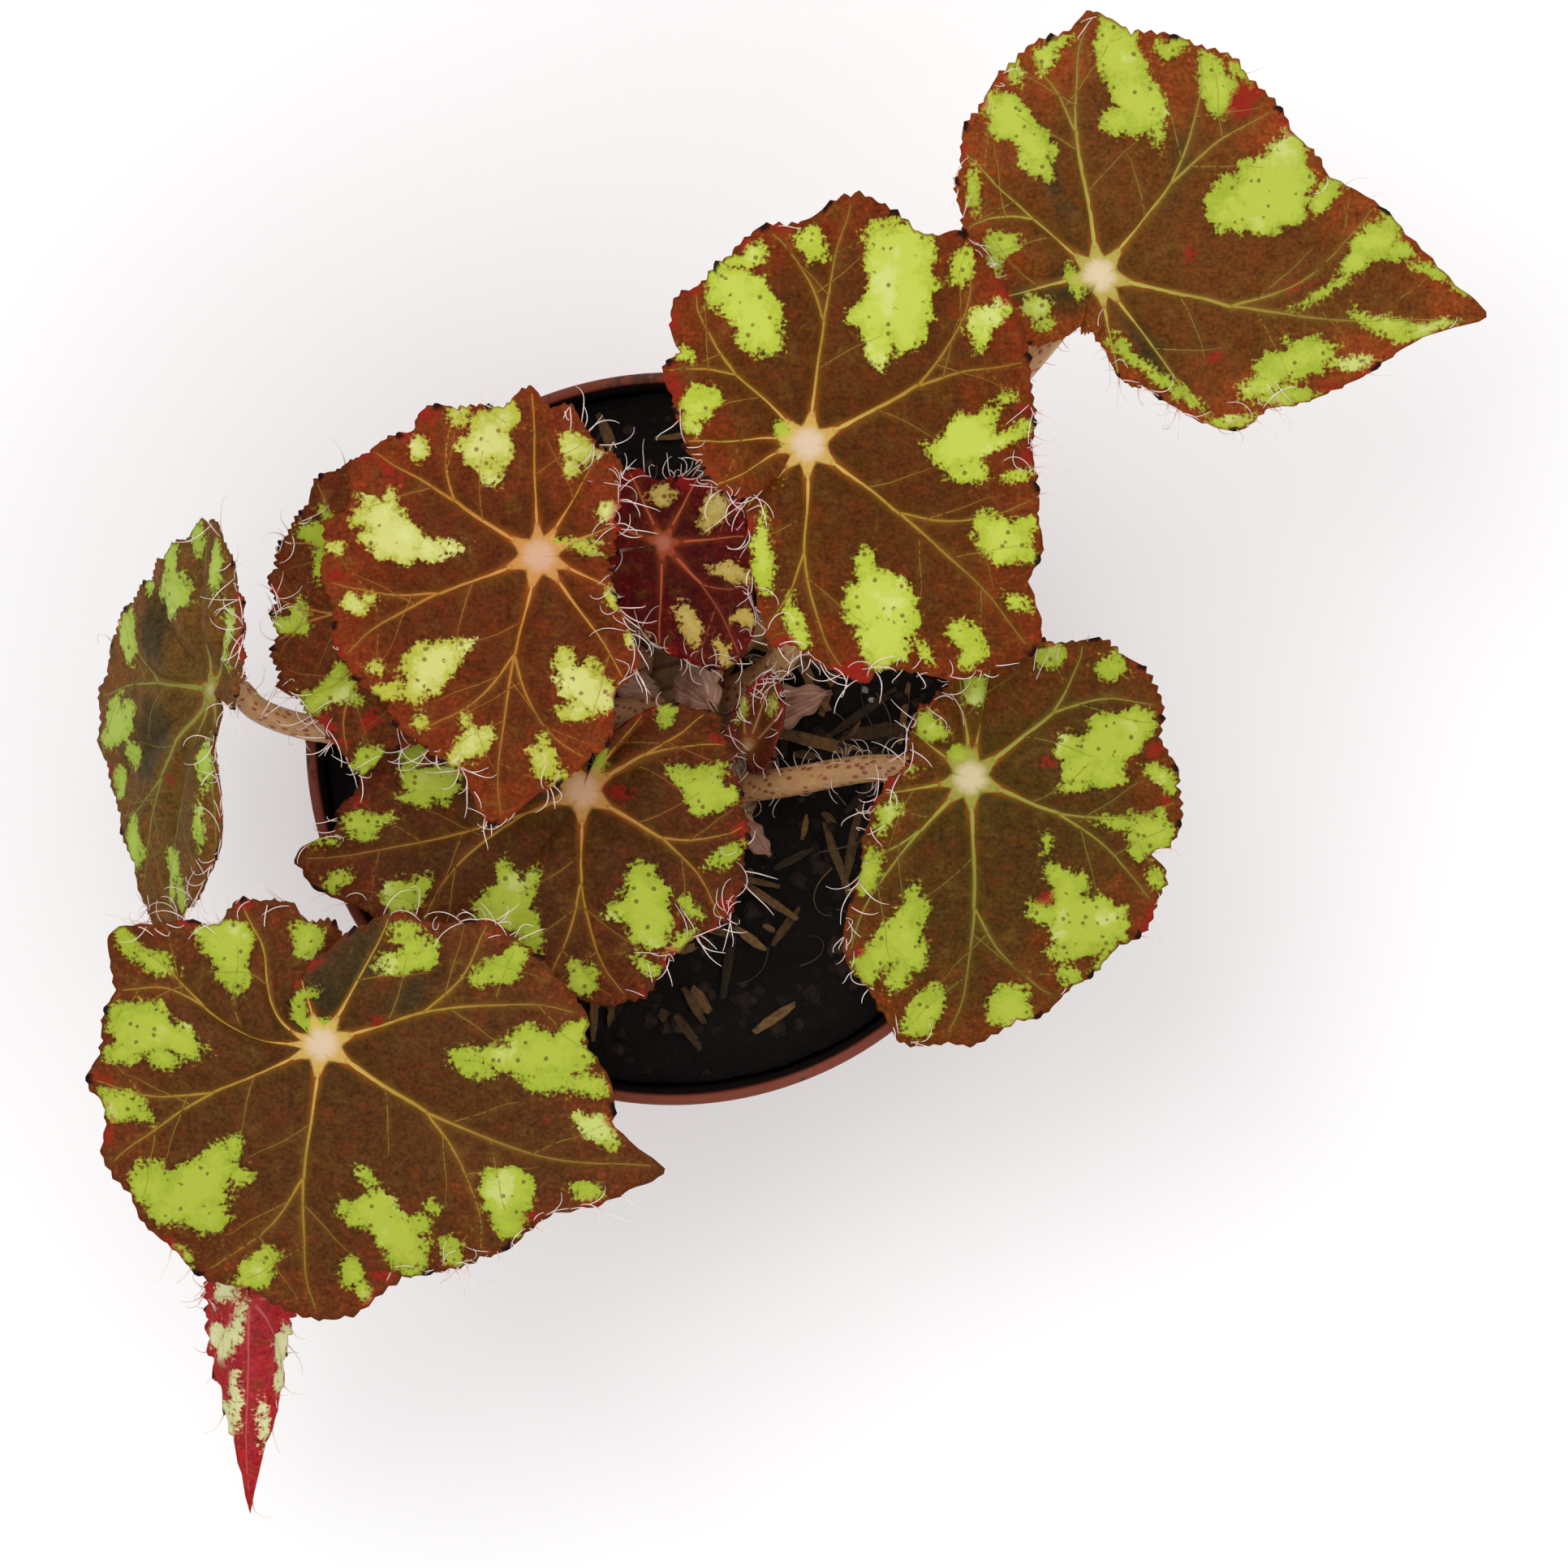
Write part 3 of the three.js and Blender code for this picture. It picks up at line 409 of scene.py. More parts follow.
            (5.5, 2.2, 3.2, 0.7, 0),
        ],
        reds=[
            (-24.5, 14, 3.5, 1, -40), (-33, -3.3, 1.5, 1, 0), (12.5, -22.5, 1.2, 1.2, 0),
            (-28.5, 16.5, 1.5, 1, 0), (-18, 23.5, 2, 1.2, 0),
        ],
    ),
    dict(
        GROWN, name="leaf_left_behind", at=(-42.9, 20.6, 121), lean=(175, 12), sinus=342,
        outline=[
            (350, 8), (365, 14), (385, 20), (410, 24), (440, 25), (468, 26), (484, 26.5),
            (495, 24.2), (509, 24), (521, 23.8), (541, 22.2), (551, 22.4), (562, 24), (574, 24),
            (582, 23), (599, 24), (613, 27.5), (623, 22.5), (640, 22), (660, 20), (680, 15),
            (693, 9),
        ],
        ribs=[365, 400, 445, 495, 540, 585, 630, 672], droop=3, lift=1.2,
        stalk=[(-4.5, 12.5, 88), (-15, 14, 98), (-32, 18, 106), (-42, 20, 112)],
        veins=[
            (495, 10, (485, 510)), (541, 12, (534, 552)), (590, 11, (578, 606)),
            (450, 9, (440, 462)), (635, 0, (640,)), (405, 0, (402,)), (672, 0, (672,)),
        ],
        blotches=[
            (-14.8, 12.3, 3.6, 1.7, 145), (-14.1, 7.7, 2.6, 1, 80), (-13.5, 16, 1.4, 0.7, 130),
            (-18.3, -0.4, 2.2, 1.6, 60), (-20.8, -1.8, 2.2, 1.3, 160),
            (-17.3, -2.6, 1.4, 0.8, 20), (-13.2, -13.4, 5.5, 2.2, 25), (-11, -10.3, 2, 1.3, 60),
            (-16.4, -15.5, 2, 1.2, 150), (-9.2, -13.7, 2, 1.3, 0), (-6.4, -23.6, 2, 1.8, 0),
            (-7.5, -26, 1.7, 1.7, 0), (-9.8, -25, 1.2, 0.6, 0), (3, 17, 4, 3, 0),
            (8, -14, 4, 3, 40),
        ],
        reds=[
            (-13.5, -18.7, 1.8, 1.6, 0), (-16.4, 0.2, 1.2, 0.8, 0), (-15, -1.3, 0.9, 0.6, 0),
            (-5.7, -17.8, 1.6, 1.6, 0), (-10.3, -21, 1.3, 1, 0), (-3.7, -25.2, 1, 0.6, 0),
        ],
    ),
    dict(
        GROWN, name="leaf_far_left", at=(-75.1, 8, 112), lean=(180, 57), sinus=326,
        star=0.5, tooth=1.2, wave=0.3, painted_shadows=[(-13, 10, 7, 4, 110), (-14, -8, 8, 5, 60)],
        outline=[
            (335, 8), (363, 10.6), (388, 14.3), (415, 18.4), (426, 22.7), (446, 27.8),
            (462, 25.8), (487, 24.6), (502, 26), (518, 28.5), (531, 30), (550, 33.5),
            (564, 33.4), (574, 33.1), (589, 35.5), (602, 41), (611, 46.5), (620, 37.5),
            (634, 31), (644, 23.7), (651, 15), (662, 10), (678, 8),
        ],
        ribs=[375, 415, 452, 492, 530, 570, 608, 648], droop=2, lift=1.0,
        stalk=[(-3, 6, 88), (-14, 3, 97), (-38, 0.5, 101.5), (-60, 2, 104.5), (-68, 5, 107)],
        veins=[
            (592.7, 18, (599, 580)), (535, 13, (510, 542)), (448, 0, (449,)),
            (608, 0, (611,)), (405, 0, (402,)), (648, 0, (640,)),
        ],
        blotches=[
            (-7.7, 16.2, 3.4, 4.4, 90), (-8.8, 21.5, 3.2, 2.2, 100), (-8.1, 13.2, 1.6, 2, 90),
            (-4.8, 15.6, 1.5, 2.4, 90), (-2.2, 25, 2.8, 1.5, 100), (-16.5, 17, 1.5, 1.2, 80),
            (-22, 9.3, 4.2, 3, 95), (-22.6, 6, 1.5, 1.5, 90), (-25, -5.2, 4, 5, 90),
            (-21.2, -10.5, 2.2, 1.5, 110), (-21.2, -3.5, 2.2, 2.8, 90), (-29, -8, 1.8, 2.5, 90),
            (-26, -15, 2.5, 2, 100), (-21.2, -25, 4.2, 2.4, 95), (-9.6, -28.5, 2.8, 2.6, 90),
            (-10.3, -32, 2.4, 1.5, 90), (-6.4, -34, 3.2, 1.3, 95), (5.2, 20, 3.6, 1.8, 95),
            (8.1, 9, 4.2, 1.3, 90), (2.6, -11.5, 4.5, 1.5, 90), (1, -22, 3.2, 1.1, 90),
        ],
        reds=[(-29.5, -13, 1.2, 2, 90), (-24.5, -27.5, 1.5, 1.6, 90), (-8.5, -14.5, 1, 1.2, 90)],
    ),
    dict(
        GROWN, name="leaf_lower_centre", at=(-14.6, -8.6, 115), lean=(215, 4), sinus=73,
        outline=[
            (80, 9), (95, 16), (110, 21), (130, 27), (150, 32), (165, 35), (179, 37), (184, 40),
            (189, 41), (191.5, 47), (193.5, 49), (198, 47.5), (204, 43.4), (212, 40), (225, 38),
            (240, 36), (255, 35), (270, 34), (278, 35.4), (286, 35), (293, 32.5), (303, 30),
            (315, 31.4), (326, 31), (335, 29), (345, 28.3), (357, 26.4), (371, 25), (381, 25.2),
            (390, 25), (399, 22.4), (406, 20), (412, 17), (422, 10), (427, 7),
        ],
        ribs=[110, 150, 198, 235, 270, 325, 382, 408], droop=3, lift=1.2,
        stalk=[(-1, 0, 88), (-6, -3, 98), (-12.5, -7.5, 106)],
        veins=[
            (269, 15, (258, 281)), (330, 15.2, (348, 318)), (389.5, 12, (392, 378)),
            (201, 9.7, (193.4, 222)), (150, 12, (140, 162)), (112, 0, (112,)), (412, 0, (412,)),
        ],
        blotches=[
            (10.5, -18.5, 6.3, 4.2, 105), (11.5, -22.5, 3.5, 2.4, 150),
            (10.5, -14, 2.2, 1.6, 60), (6.3, -19.5, 2.2, 1.6, 0), (19.7, 0.2, 4, 3.6, 100),
            (16.6, 2.6, 2.4, 1.6, 150), (23.2, -0.4, 2, 2, 0), (21.5, 3.2, 2.2, 1, 20),
            (17.8, -19, 2, 1, 130), (24, -10.3, 3, 1.2, 30), (0, -30.5, 3, 2, 110),
            (-1.3, -28.6, 1.2, 1, 0), (11, -28.8, 2.6, 1.1, 145), (16.5, -24.3, 2.6, 0.9, 40),
            (-11.8, -18, 4.8, 3.8, 10), (-12.3, -13.8, 2.4, 1.2, 90), (-8.2, -14.2, 2, 1.2, 60),
            (-8.8, -22.8, 3.8, 2.2, 100), (-15.5, -20, 2.2, 1.2, 20), (-30, -16.5, 3.2, 2.6, 0),
            (-26.5, -15.3, 2.2, 1.2, 30), (-28.5, -19, 1.4, 1, 90), (-36.5, -5.5, 3.2, 2.1, 160),
            (-33, -4.8, 2.2, 0.9, 10), (-40, -14.5, 2.4, 1.3, 30), (-43, -8.2, 2.2, 0.7, 170),
            (-24, 1.5, 5.2, 2.8, 10), (-28, 6, 2.6, 1.6, 60), (-27, -1, 2.4, 1.2, 0),
            (3, 4.8, 2.6, 1.4, 80), (13.8, 13.3, 2.4, 1.8, 100),
        ],
        reds=[
            (5.8, -0.5, 2.5, 1.3, 0), (26, -6, 1.3, 1.6, 90), (22, 8.5, 1.5, 1, 0),
            (-36.5, -2, 1.5, 1, 0), (23.5, -18.5, 1.2, 1.5, 90),
        ],
    ),
    dict(
        GROWN, name="leaf_lower_left", at=(-57.1, -49.8, 123), lean=(245, 7), sinus=143,
        painted_shadows=[(1, 11, 8, 4, 100, 1), (6, 14, 8, 4, 60), (14, 8, 6, 2, 40)],
        outline=[
            (78, 18), (84, 20), (97, 21), (102, 23.3), (120, 26.7), (132, 26.3), (137, 29.4),
            (144, 33.5), (151, 38.5), (160, 36.7), (167, 35.3), (180, 36.4), (190, 38.5),
            (195, 37.3), (203, 39), (212, 40.6), (222, 40.8), (240, 43), (259, 43), (269, 46),
            (276, 44.7), (284, 42), (294, 41.2), (304, 44), (320, 46.2), (328, 50.8),
            (334.5, 55.8), (339, 60), (342, 53), (344, 49.5), (353, 47), (360.5, 43.2),
            (366.4, 43), (377.5, 39.8), (386.6, 36.7), (395, 35.3), (405, 28.3), (422.6, 24.3),
            (437.5, 18.4), (450, 15.2), (466, 11.6), (481, 9.3), (499, 7.4),
        ],
        ribs=[115, 160, 204, 262, 330, 377, 424, 465], droop=4, lift=2.2,
        stalk=[(1, -5, 88), (-9, -15, 97), (-36, -34, 104), (-52, -46, 114)],
        veins=[
            (327, 20.5, (307, 339)), (377.7, 17.7, (396, 367)), (418, 0, (422,)),
            (120, 0, (120,)), (157, 20, (165, 150)), (204, 19.3, (190, 210)),
            (262, 22.2, (243, 268)), (465, 0, (465,)),
        ],
        blotches=[
            (-29, 2.5, 6, 3.8, 160), (-23.5, 1, 5, 2.8, 160), (-32, 5, 2.8, 2.2, 0),
            (-32.5, -1.5, 3, 2, 0), (-26, -2.5, 2.5, 1.5, 0), (-33, -10, 3.5, 2.2, 170),
            (-29.5, -11.5, 2, 1.1, 150), (-27.5, 13.5, 3.5, 1.6, 160),
            (-31.5, 16.5, 2.6, 1.6, 130), (-33.5, 18.8, 1.5, 1, 110), (-15.2, 15.8, 4, 3.6, 100),
            (-17, 18, 2.8, 2, 0), (-13, 12.5, 2.6, 1.8, 120), (-2.2, 17.3, 2.8, 2.2, 90),
            (-3.7, 5.2, 2.6, 1.3, 100, 1), (-1.2, 3.2, 2.6, 1.1, 175, 1),
            (-2, 8.7, 1.6, 0.9, 20, 1), (14, 14, 4.5, 1.8, 10),
            (17.5, 15, 2.4, 2, 60), (15, 16.5, 2.4, 1.6, 20), (13.5, 18.5, 2, 1.3, 0),
            (29, 12, 3.4, 2.2, 10), (31.5, 14.5, 2.8, 2.2, 60), (26, 11.2, 2, 1.2, 0),
            (37, -1.5, 6.5, 4, 165), (31, -2.5, 6.5, 1.9, 170), (25, -3.5, 3.5, 1.6, 160),
            (24, -1.5, 2.4, 1, 170), (40.5, 1, 3.5, 2.4, 20), (37, -6, 4, 1.8, 165),
            (43.5, -7, 3.5, 1.5, 170), (44.5, -14, 3.6, 2, 150), (46.5, -16, 2, 1.4, 150),
            (43, -24.2, 2.6, 1.4, 170), (30.2, -24, 4.2, 4, 90), (30.5, -29, 2.6, 2.4, 120),
            (20.8, -34, 2.6, 1.6, 110), (8.5, -27, 4, 3.2, 30), (12, -31, 5.5, 3.2, 135),
            (14, -35.5, 4, 2.4, 110), (7.5, -21.5, 1.8, 1, 130), (16, -29.5, 1.6, 1.6, 0),
            (3.4, -26.7, 1.2, 0.9, 60), (18, -26.5, 1.2, 1, 0), (4.7, -37.5, 2.6, 1.9, 100),
            (6.5, -40.5, 2, 1.3, 130), (-11, -37.5, 3.6, 2.4, 50), (-12.5, -39.5, 2.6, 1.6, 10),
            (-9, -34.8, 1.6, 1.6, 0), (-21.5, -24, 7, 4.6, 30), (-28, -23.5, 3.6, 3, 100),
            (-17, -19.5, 4, 2.6, 50), (-19, -28.5, 3.6, 2.6, 0), (-14.5, -16, 1.6, 1.2, 60),
            (-26, -27.5, 2.6, 2.2, 0), (-13.5, -21.5, 2, 1.2, 0), (-23, -35, 2.2, 1, 140),
        ],
        reds=[
            (-36, -6.3, 2, 1, 0), (-12.5, 23, 1.6, 1.2, 0), (9, 4, 1, 1, 0),
            (34, -28.3, 1.3, 1, 0), (10, -38, 2, 1.2, 0),
        ],
    ),
    dict(
        GROWN, name="leaf_right", at=(48.7, -6.4, 121), lean=(290, 8), sinus=162,
        outline=[
            (159, 10), (168, 11), (177, 12.5), (190, 15.3), (209, 19.8), (219, 23.2),
            (227, 29), (235, 36),
            (243.5, 38), (250.5, 42.1), (257, 45), (269, 44.2), (276, 42.5), (290, 40),
            (300, 38.4), (307, 37.5), (320, 38), (328.5, 36.8), (335, 34.8), (337, 32),
            (341, 35), (358, 34.3), (371.5, 32), (387, 34.1), (398.5, 32), (404, 32),
            (411, 28.7), (417, 26.8), (430, 24), (455, 19), (467, 15.5), (484, 14.7),
            (507, 12), (518, 11), (525, 10),
        ],
        ribs=[185, 230, 270, 335, 403, 440, 461, 500], droop=4, lift=1.0,
        stalk=[(9.5, -8, 88), (18, -7.2, 97), (33, -4.8, 106), (45, -5.5, 112)],
        veins=[
            (272, 21.5, (291, 266)), (338, 15.5, (352, 325)), (399, 17.3, (382, 410)),
            (442, 0, (440,)), (455, 0, (457,)), (190, 0, (190,)), (225, 11.8, (235, 218)),
            (500, 0, (500,)),
        ],
        blotches=[
            (22, 6, 7, 4.2, 15), (27, 8.5, 3.6, 2.8, 20), (18.5, 2.5, 4, 3.4, 20),
            (16, 5.5, 2.6, 2, 60), (22, 1, 3, 2.2, 0), (17, -1, 2.6, 1.1, 10),
            (31, 0.5, 2.6, 1.4, 150), (32.5, -1.5, 1.5, 1.2, 120), (29.5, -9, 4, 3, 165),
            (24, -7.3, 2.8, 1, 170), (27.5, -12, 1.8, 1.6, 90), (30.5, -16.8, 1.6, 1.2, 100),
            (18.5, -23.5, 6.5, 5, 160), (15.5, -18.5, 3.6, 2.6, 120), (13.5, -15.5, 2, 1.3, 110),
            (18, -17, 1.6, 1.2, 90), (12, -22, 2.6, 1.6, 150), (23, -24.5, 3.2, 3, 0),
            (18, -28, 4.6, 2, 10), (22, -30.5, 2.2, 1.2, 50), (12.3, -10.5, 1.2, 0.6, 90),
            (16.5, -33, 2.4, 1.1, 130), (6.3, -37.5, 3.8, 3, 100), (7.5, -40, 2.4, 1.8, 20),
            (-7, -38.5, 4.2, 2.4, 75), (-8.5, -41.5, 2.4, 1.6, 0), (-10, -22.5, 3.4, 2.4, 60),
            (-11.5, -26.5, 4, 3.6, 40), (-15, -29.5, 4, 2.4, 30), (-9, -29.5, 2.6, 2, 60),
            (-11.5, -32.5, 2.6, 1.6, 60), (-16.5, -32.5, 1.8, 1.6, 90),
            (-9.5, -18.5, 1.5, 1.2, 60), (-13.5, -6, 2.6, 1.2, 65), (-16.5, -15, 3.4, 1.9, 75),
            (-6.5, 8.5, 2.6, 1.9, 150), (-7.5, 10.3, 1.6, 1.2, 90), (0.8, 15, 3, 1.8, 90),
            (22.5, 17.8, 2.4, 1.5, 160), (23.5, 19.5, 1.4, 1, 0), (13, 20, 2.4, 2.2, 90),
            (-2, 3.5, 2.2, 1.6, 150), (-6.5, 3.2, 3, 0.8, 20),
        ],
        reds=[
            (12, 3, 1.5, 1.3, 0), (30, 4.5, 2, 1.2, 20), (31.5, -4, 1.8, 1, 0),
            (-18.5, -28.5, 1.5, 1, 0), (12, -19.3, 1.7, 1.4, 0),
        ],
    ),
    dict(
        YOUNG, name="leaf_young_red", at=(-1.5, 31.9, 110), lean=(300, 4), sinus=190,
        star=0.5,
        outline=[
            (193, 8.5), (220, 11), (250, 14), (280, 19.5), (300, 23), (315, 21), (330, 17),
            (350, 15), (370, 14), (390, 14.5), (410, 13), (427, 12), (440, 11), (452, 10.4),
            (460, 11), (470, 13), (490, 12.5), (520, 12.5), (547, 9),
        ],
        ribs=[225, 265, 312, 366, 412, 485, 520], droop=1.5, lift=0.8,
        stalk=[(-1, 26, 90), (-1.8, 29.5, 98), (-1.6, 31.5, 104)],
        veins=[
            (313, 9.2, (304, 335)), (422, 0, (422,)), (475, 0, (475,)), (365, 0, (365,)),
            (268, 0, (268,)), (520, 0, (520,)),
        ],
        blotches=[
            (-0.3, 7.8, 2, 1.6, 0), (8.3, 5.5, 2.7, 1.8, 75), (7.5, 3.5, 1.2, 1.1, 0),
            (11.3, -4.8, 3, 1.2, 165), (10.3, -3.8, 1.3, 1, 0), (13.3, -12, 1.6, 1.4, 0),
            (4.3, -13, 3.4, 1.6, 115), (10, -18, 2.2, 0.8, 115), (-2.4, -16.5, 1.2, 1, 90),
        ],
        reds=[(3.5, 10, 1.5, 1, 0), (1, -17.5, 1.5, 1, 0)],
    ),
    dict(
        YOUNG, name="leaf_unfurling", at=(-69.2, -91.5, 97), lean=(270, 24), sinus=90,
        star=0.1, tooth=1.6, teeth=27, fold=(270, 3.2, 58, -1), keel_up=True,
        outline=[
            (105, 6), (140, 8.5), (180, 10), (215, 13), (238, 16.5), (250, 19), (253, 19.6),
            (254.5, 22), (258.5, 22.6), (260, 25.6), (263.5, 26.4), (265, 29.5), (267.3, 31),
            (268.3, 34), (270, 38.5), (272, 33), (275.5, 27.5), (282, 22.5), (291, 19),
            (305, 15.5), (325, 12), (360, 10), (400, 8), (435, 6),
        ],
        ribs=[140, 200, 235, 270, 305, 340, 400], droop=1, lift=0,
        stalk=[(4, -11, 87), (-6, -22, 97), (-38, -56, 104), (-61, -81, 104.5)],
        veins=[
            (269, 0, (269,)), (230, 0, (240,)), (308, 0, (298,)), (190, 0, (200,)),
            (350, 0, (340,)),
        ],
        blotches=[
            (-1.9, -5.2, 4, 0.9, 78), (-4.8, -9.6, 3.6, 1.8, 66), (-7.5, -8.8, 2.6, 1.4, 60),
            (-2.2, -18.4, 4.6, 0.9, 86), (-4.6, -22, 2.6, 1.8, 84), (-3.9, -25, 1.6, 1.2, 90),
            (-4.7, 0.6, 2.6, 1.9, 0), (-6.6, -1.2, 2, 1.4, 60), (7.6, -11, 4.4, 3, 80),
            (5.8, -16, 2.2, 1.5, 85), (2, -22.8, 3.2, 0.8, 95), (6.3, 0.6, 2.2, 1, 0),
        ],
        reds=[(-6.4, -14.8, 3, 1.7, 62), (-3.6, -28.4, 2.4, 1.4, 105), (-3.4, -15, 3, 0.5, 82)],
    ),
    dict(
        YOUNG, name="leaf_bud", at=(12.4, -1.2, 97), lean=(70, -30), sinus=250,
        star=0.35, fold=(70, 2.4, 50, 1),
        outline=[
            (265, 3.6), (300, 4.5), (340, 6), (380, 8.5), (405, 12), (430, 15), (455, 12),
            (480, 8.5), (520, 6), (560, 4.5), (595, 3.6),
        ],
        ribs=[300, 350, 395, 430, 465, 510, 560], droop=0, lift=0,
        stalk=[(11, -2.4, 89), (12, -1.6, 92)],
        veins=[(430, 0, (430,)), (400, 0, (405,)), (460, 0, (455,))],
        blotches=[(5.5, 8.5, 2, 1.2, 60), (-1.5, 9, 2.5, 1, 90)],
    ),
]
print("leaves measured:", len(LEAVES))

# %% [markdown]
# ## The shape of a blade
# A begonia blade is not flat. Round the stalk it sinks, between two main veins it puffs up like a
# quilt, along each vein it dips, and its edge droops and waves. One function gives the height of
# any point, so that the blade, the veins that lie on it and the hairs that grow from it all agree.
# A point is named by u, from 0 at one side of the slit round to 1 at the other, and v, from 0 at
# the stalk to 1 at the edge.

# %% The edge of a blade
TOOTH_DEPTH = 1.1
FINE_TOOTH_DEPTH = 0.8
TOOTH_POINT = 1 / 3  # how far along a tooth its point stands


def reach_at(outline, bearing):
    """The distance to the edge: a smooth curve through the outline's points."""
    b, r = np.array(outline, dtype=float).T
    before = np.maximum(np.arange(len(b)) - 1, 0)
    after = np.minimum(np.arange(len(b)) + 1, len(b) - 1)
    slope = (r[after] - r[before]) / (b[after] - b[before])
    i = np.clip(np.searchsorted(b, bearing, side="right") - 1, 0, len(b) - 2)
    span = b[i + 1] - b[i]
    t = np.clip((bearing - b[i]) / span, 0, 1)
    return (
        (2 * t**3 - 3 * t**2 + 1) * r[i]
        + (t**3 - 2 * t**2 + t) * span * slope[i]
        + (3 * t**2 - 2 * t**3) * r[i + 1]
        + (t**3 - t**2) * span * slope[i + 1]
    )


def slit_sides(leaf):
    """The bearings at which the edge begins and ends."""
    return leaf["outline"][0][0], leaf["outline"][-1][0]


def tooth_of(leaf, u):
    """Which large tooth a point lies on, and how far along it, from 0 to 1."""
    n = np.minimum(np.floor(u * leaf["teeth"]), leaf["teeth"] - 1)
    return n, u * leaf["teeth"] - n


def tooth_at(leaf, u):
    """Large teeth as on the solid, with a finer saw on them."""
    n, t = tooth_of(leaf, u)
    rise = np.where(t < TOOTH_POINT, t / TOOTH_POINT, (1 - t) / (1 - TOOTH_POINT))
    size = leaf["tooth"] * (0.5 + draw(n + leaf["at"][0]))
    m = np.floor(u * leaf["saw"] + 1e-6)
    fine = u * leaf["saw"] - m
    saw = np.where(fine < 0.5, fine / 0.5, (1 - fine) / 0.5) - 0.5
    return (rise - 0.5) * TOOTH_DEPTH * size + saw * FINE_TOOTH_DEPTH * draw(m + 7)


def dark_tips(leaf, u):
    """1 at the points of some of the large teeth, which end in a dark tip."""
    n, t = tooth_of(leaf, u)
    near_point = 1 - np.abs(t - TOOTH_POINT) * 20 / 1.6
    return np.maximum(near_point, 0) * (draw(n * 3 + leaf["at"][1]) > 0.4)


print("teeth drawn")

# %% Puffs and veins
WEB_RADIUS = 2.2  # where the veins leave the smooth middle of the star
VEIN_END = 0.96  # the share of the way to the edge that a vein goes
SIDE_VEIN_SPACING = 7


def puff_at(ribs, bearing):
    """0 on a rib and 1 midway between two."""
    bounds = np.array([ribs[0] - 40, *ribs, ribs[-1] + 40], dtype=float)
    i = np.clip(np.searchsorted(bounds, bearing, side="right") - 1, 0, len(bounds) - 2)
    t = (bearing - bounds[i]) / (bounds[i + 1] - bounds[i])
    return np.sin(np.pi * np.clip(t, 0, 1))


def vein_line(start, end, widths, bow=0.0, flare=0.0):
    """One vein from (bearing, distance) to another, swaying a little, as three rows of samples."""
    (b0, r0), (b1, r1) = start, end
    t = np.linspace(0, 1, max(int(abs(r1 - r0) / 0.6), 7))
    sway = bow * np.sin(np.pi * t) + 0.5 * np.sin(t * 9 + b0) * t
    bearing = b0 + (b1 - b0) * t**0.85 + sway
    r = r0 + (r1 - r0) * t
    width = widths[0] + (widths[1] - widths[0]) * t + flare * np.exp(-(r - r0) / 2.4)
    return bearing, r, width


def side_veins(leaf, parent, start, number):
    """Fine veins that leave a larger one to the left and the right in turn."""
    bearings, distances, _ = parent
    for k in range(int((distances[-1] - start) / SIDE_VEIN_SPACING)):
        turn = 1 if (k + number) % 2 else -1
        r = start + SIDE_VEIN_SPACING * (k + 0.6)
        b = float(np.interp(r, distances, bearings))
        swing = math.degrees(8.5 / (r + 6)) * turn
        far = min(r + 9, float(reach_at(leaf["outline"], b + swing)) * VEIN_END)
        if far - r > 2.5:
            yield vein_line((b, r), (b + swing, far), (0.15, 0.05), swing * 0.06)


def vein_lines(leaf):
    """Each vein as samples of its bearing, its distance from the stalk and its half width."""
    scale = leaf["vein"]
    web, flare = WEB_RADIUS * scale, 0.34 * scale
    lines = []
    for number, (b0, fork, ends) in enumerate(leaf["veins"]):
        if fork:
            trunk = vein_line((b0, web), (b0, fork), (0.5 * scale, 0.38 * scale), flare=flare)
            lines += [trunk, *side_veins(leaf, trunk, fork * 0.4, number)]
        width, begin, swell = (0.33, fork, 0) if fork else (0.36, web, flare)
        for k, b1 in enumerate(ends):
            edge = float(reach_at(leaf["outline"], b1)) * VEIN_END
            widths, bow = (width * scale, 0.14), (b0 - b1) * 0.1
            branch = vein_line((b0, begin), (b1, edge), widths, bow, swell)
            lines += [branch, *side_veins(leaf, branch, max(fork, edge * 0.35), number + k)]
    return lines


for leaf in LEAVES:
    leaf["lines"] = vein_lines(leaf)
print("veins drawn:", sum(len(leaf["lines"]) for leaf in LEAVES))

# %% How near a point lies to a vein
CHUNK = 4000  # points that are measured at a time, to save memory


def vein_distance(leaf, bearing, r):
    """Distance in millimetres from each point to the nearest vein, and that vein's width."""
    sb, sr, sw = (np.concatenate(part).astype(np.float32) for part in zip(*leaf["lines"]))
    near = np.full(len(r), 1e9, dtype=np.float32)
    width = np.zeros(len(r), dtype=np.float32)
    for i in range(0, len(r), CHUNK):
        part = slice(i, i + CHUNK)
        distance = r[part, None]
        across = np.radians(bearing[part, None] - sb) * np.minimum(distance, sr)
        d = np.hypot(across, distance - sr)
        k = (d - sw).argmin(axis=1)
        near[part] = d[np.arange(len(k)), k]
        width[part] = sw[k]
    return near, width


def blade_fields(leaf, u, v):
    """Bearing and distance of points, and how near they lie to a vein."""
    first, last = slit_sides(leaf)
    bearing = first + u * (last - first)
    r = (reach_at(leaf["outline"], bearing) + tooth_at(leaf, u) * v**6) * v
    near, width = vein_distance(leaf, bearing, r)
    return bearing, r, near, width


print("samples on all the veins:", sum(len(line[0]) for leaf in LEAVES for line in leaf["lines"]))

# %% Fold and turn


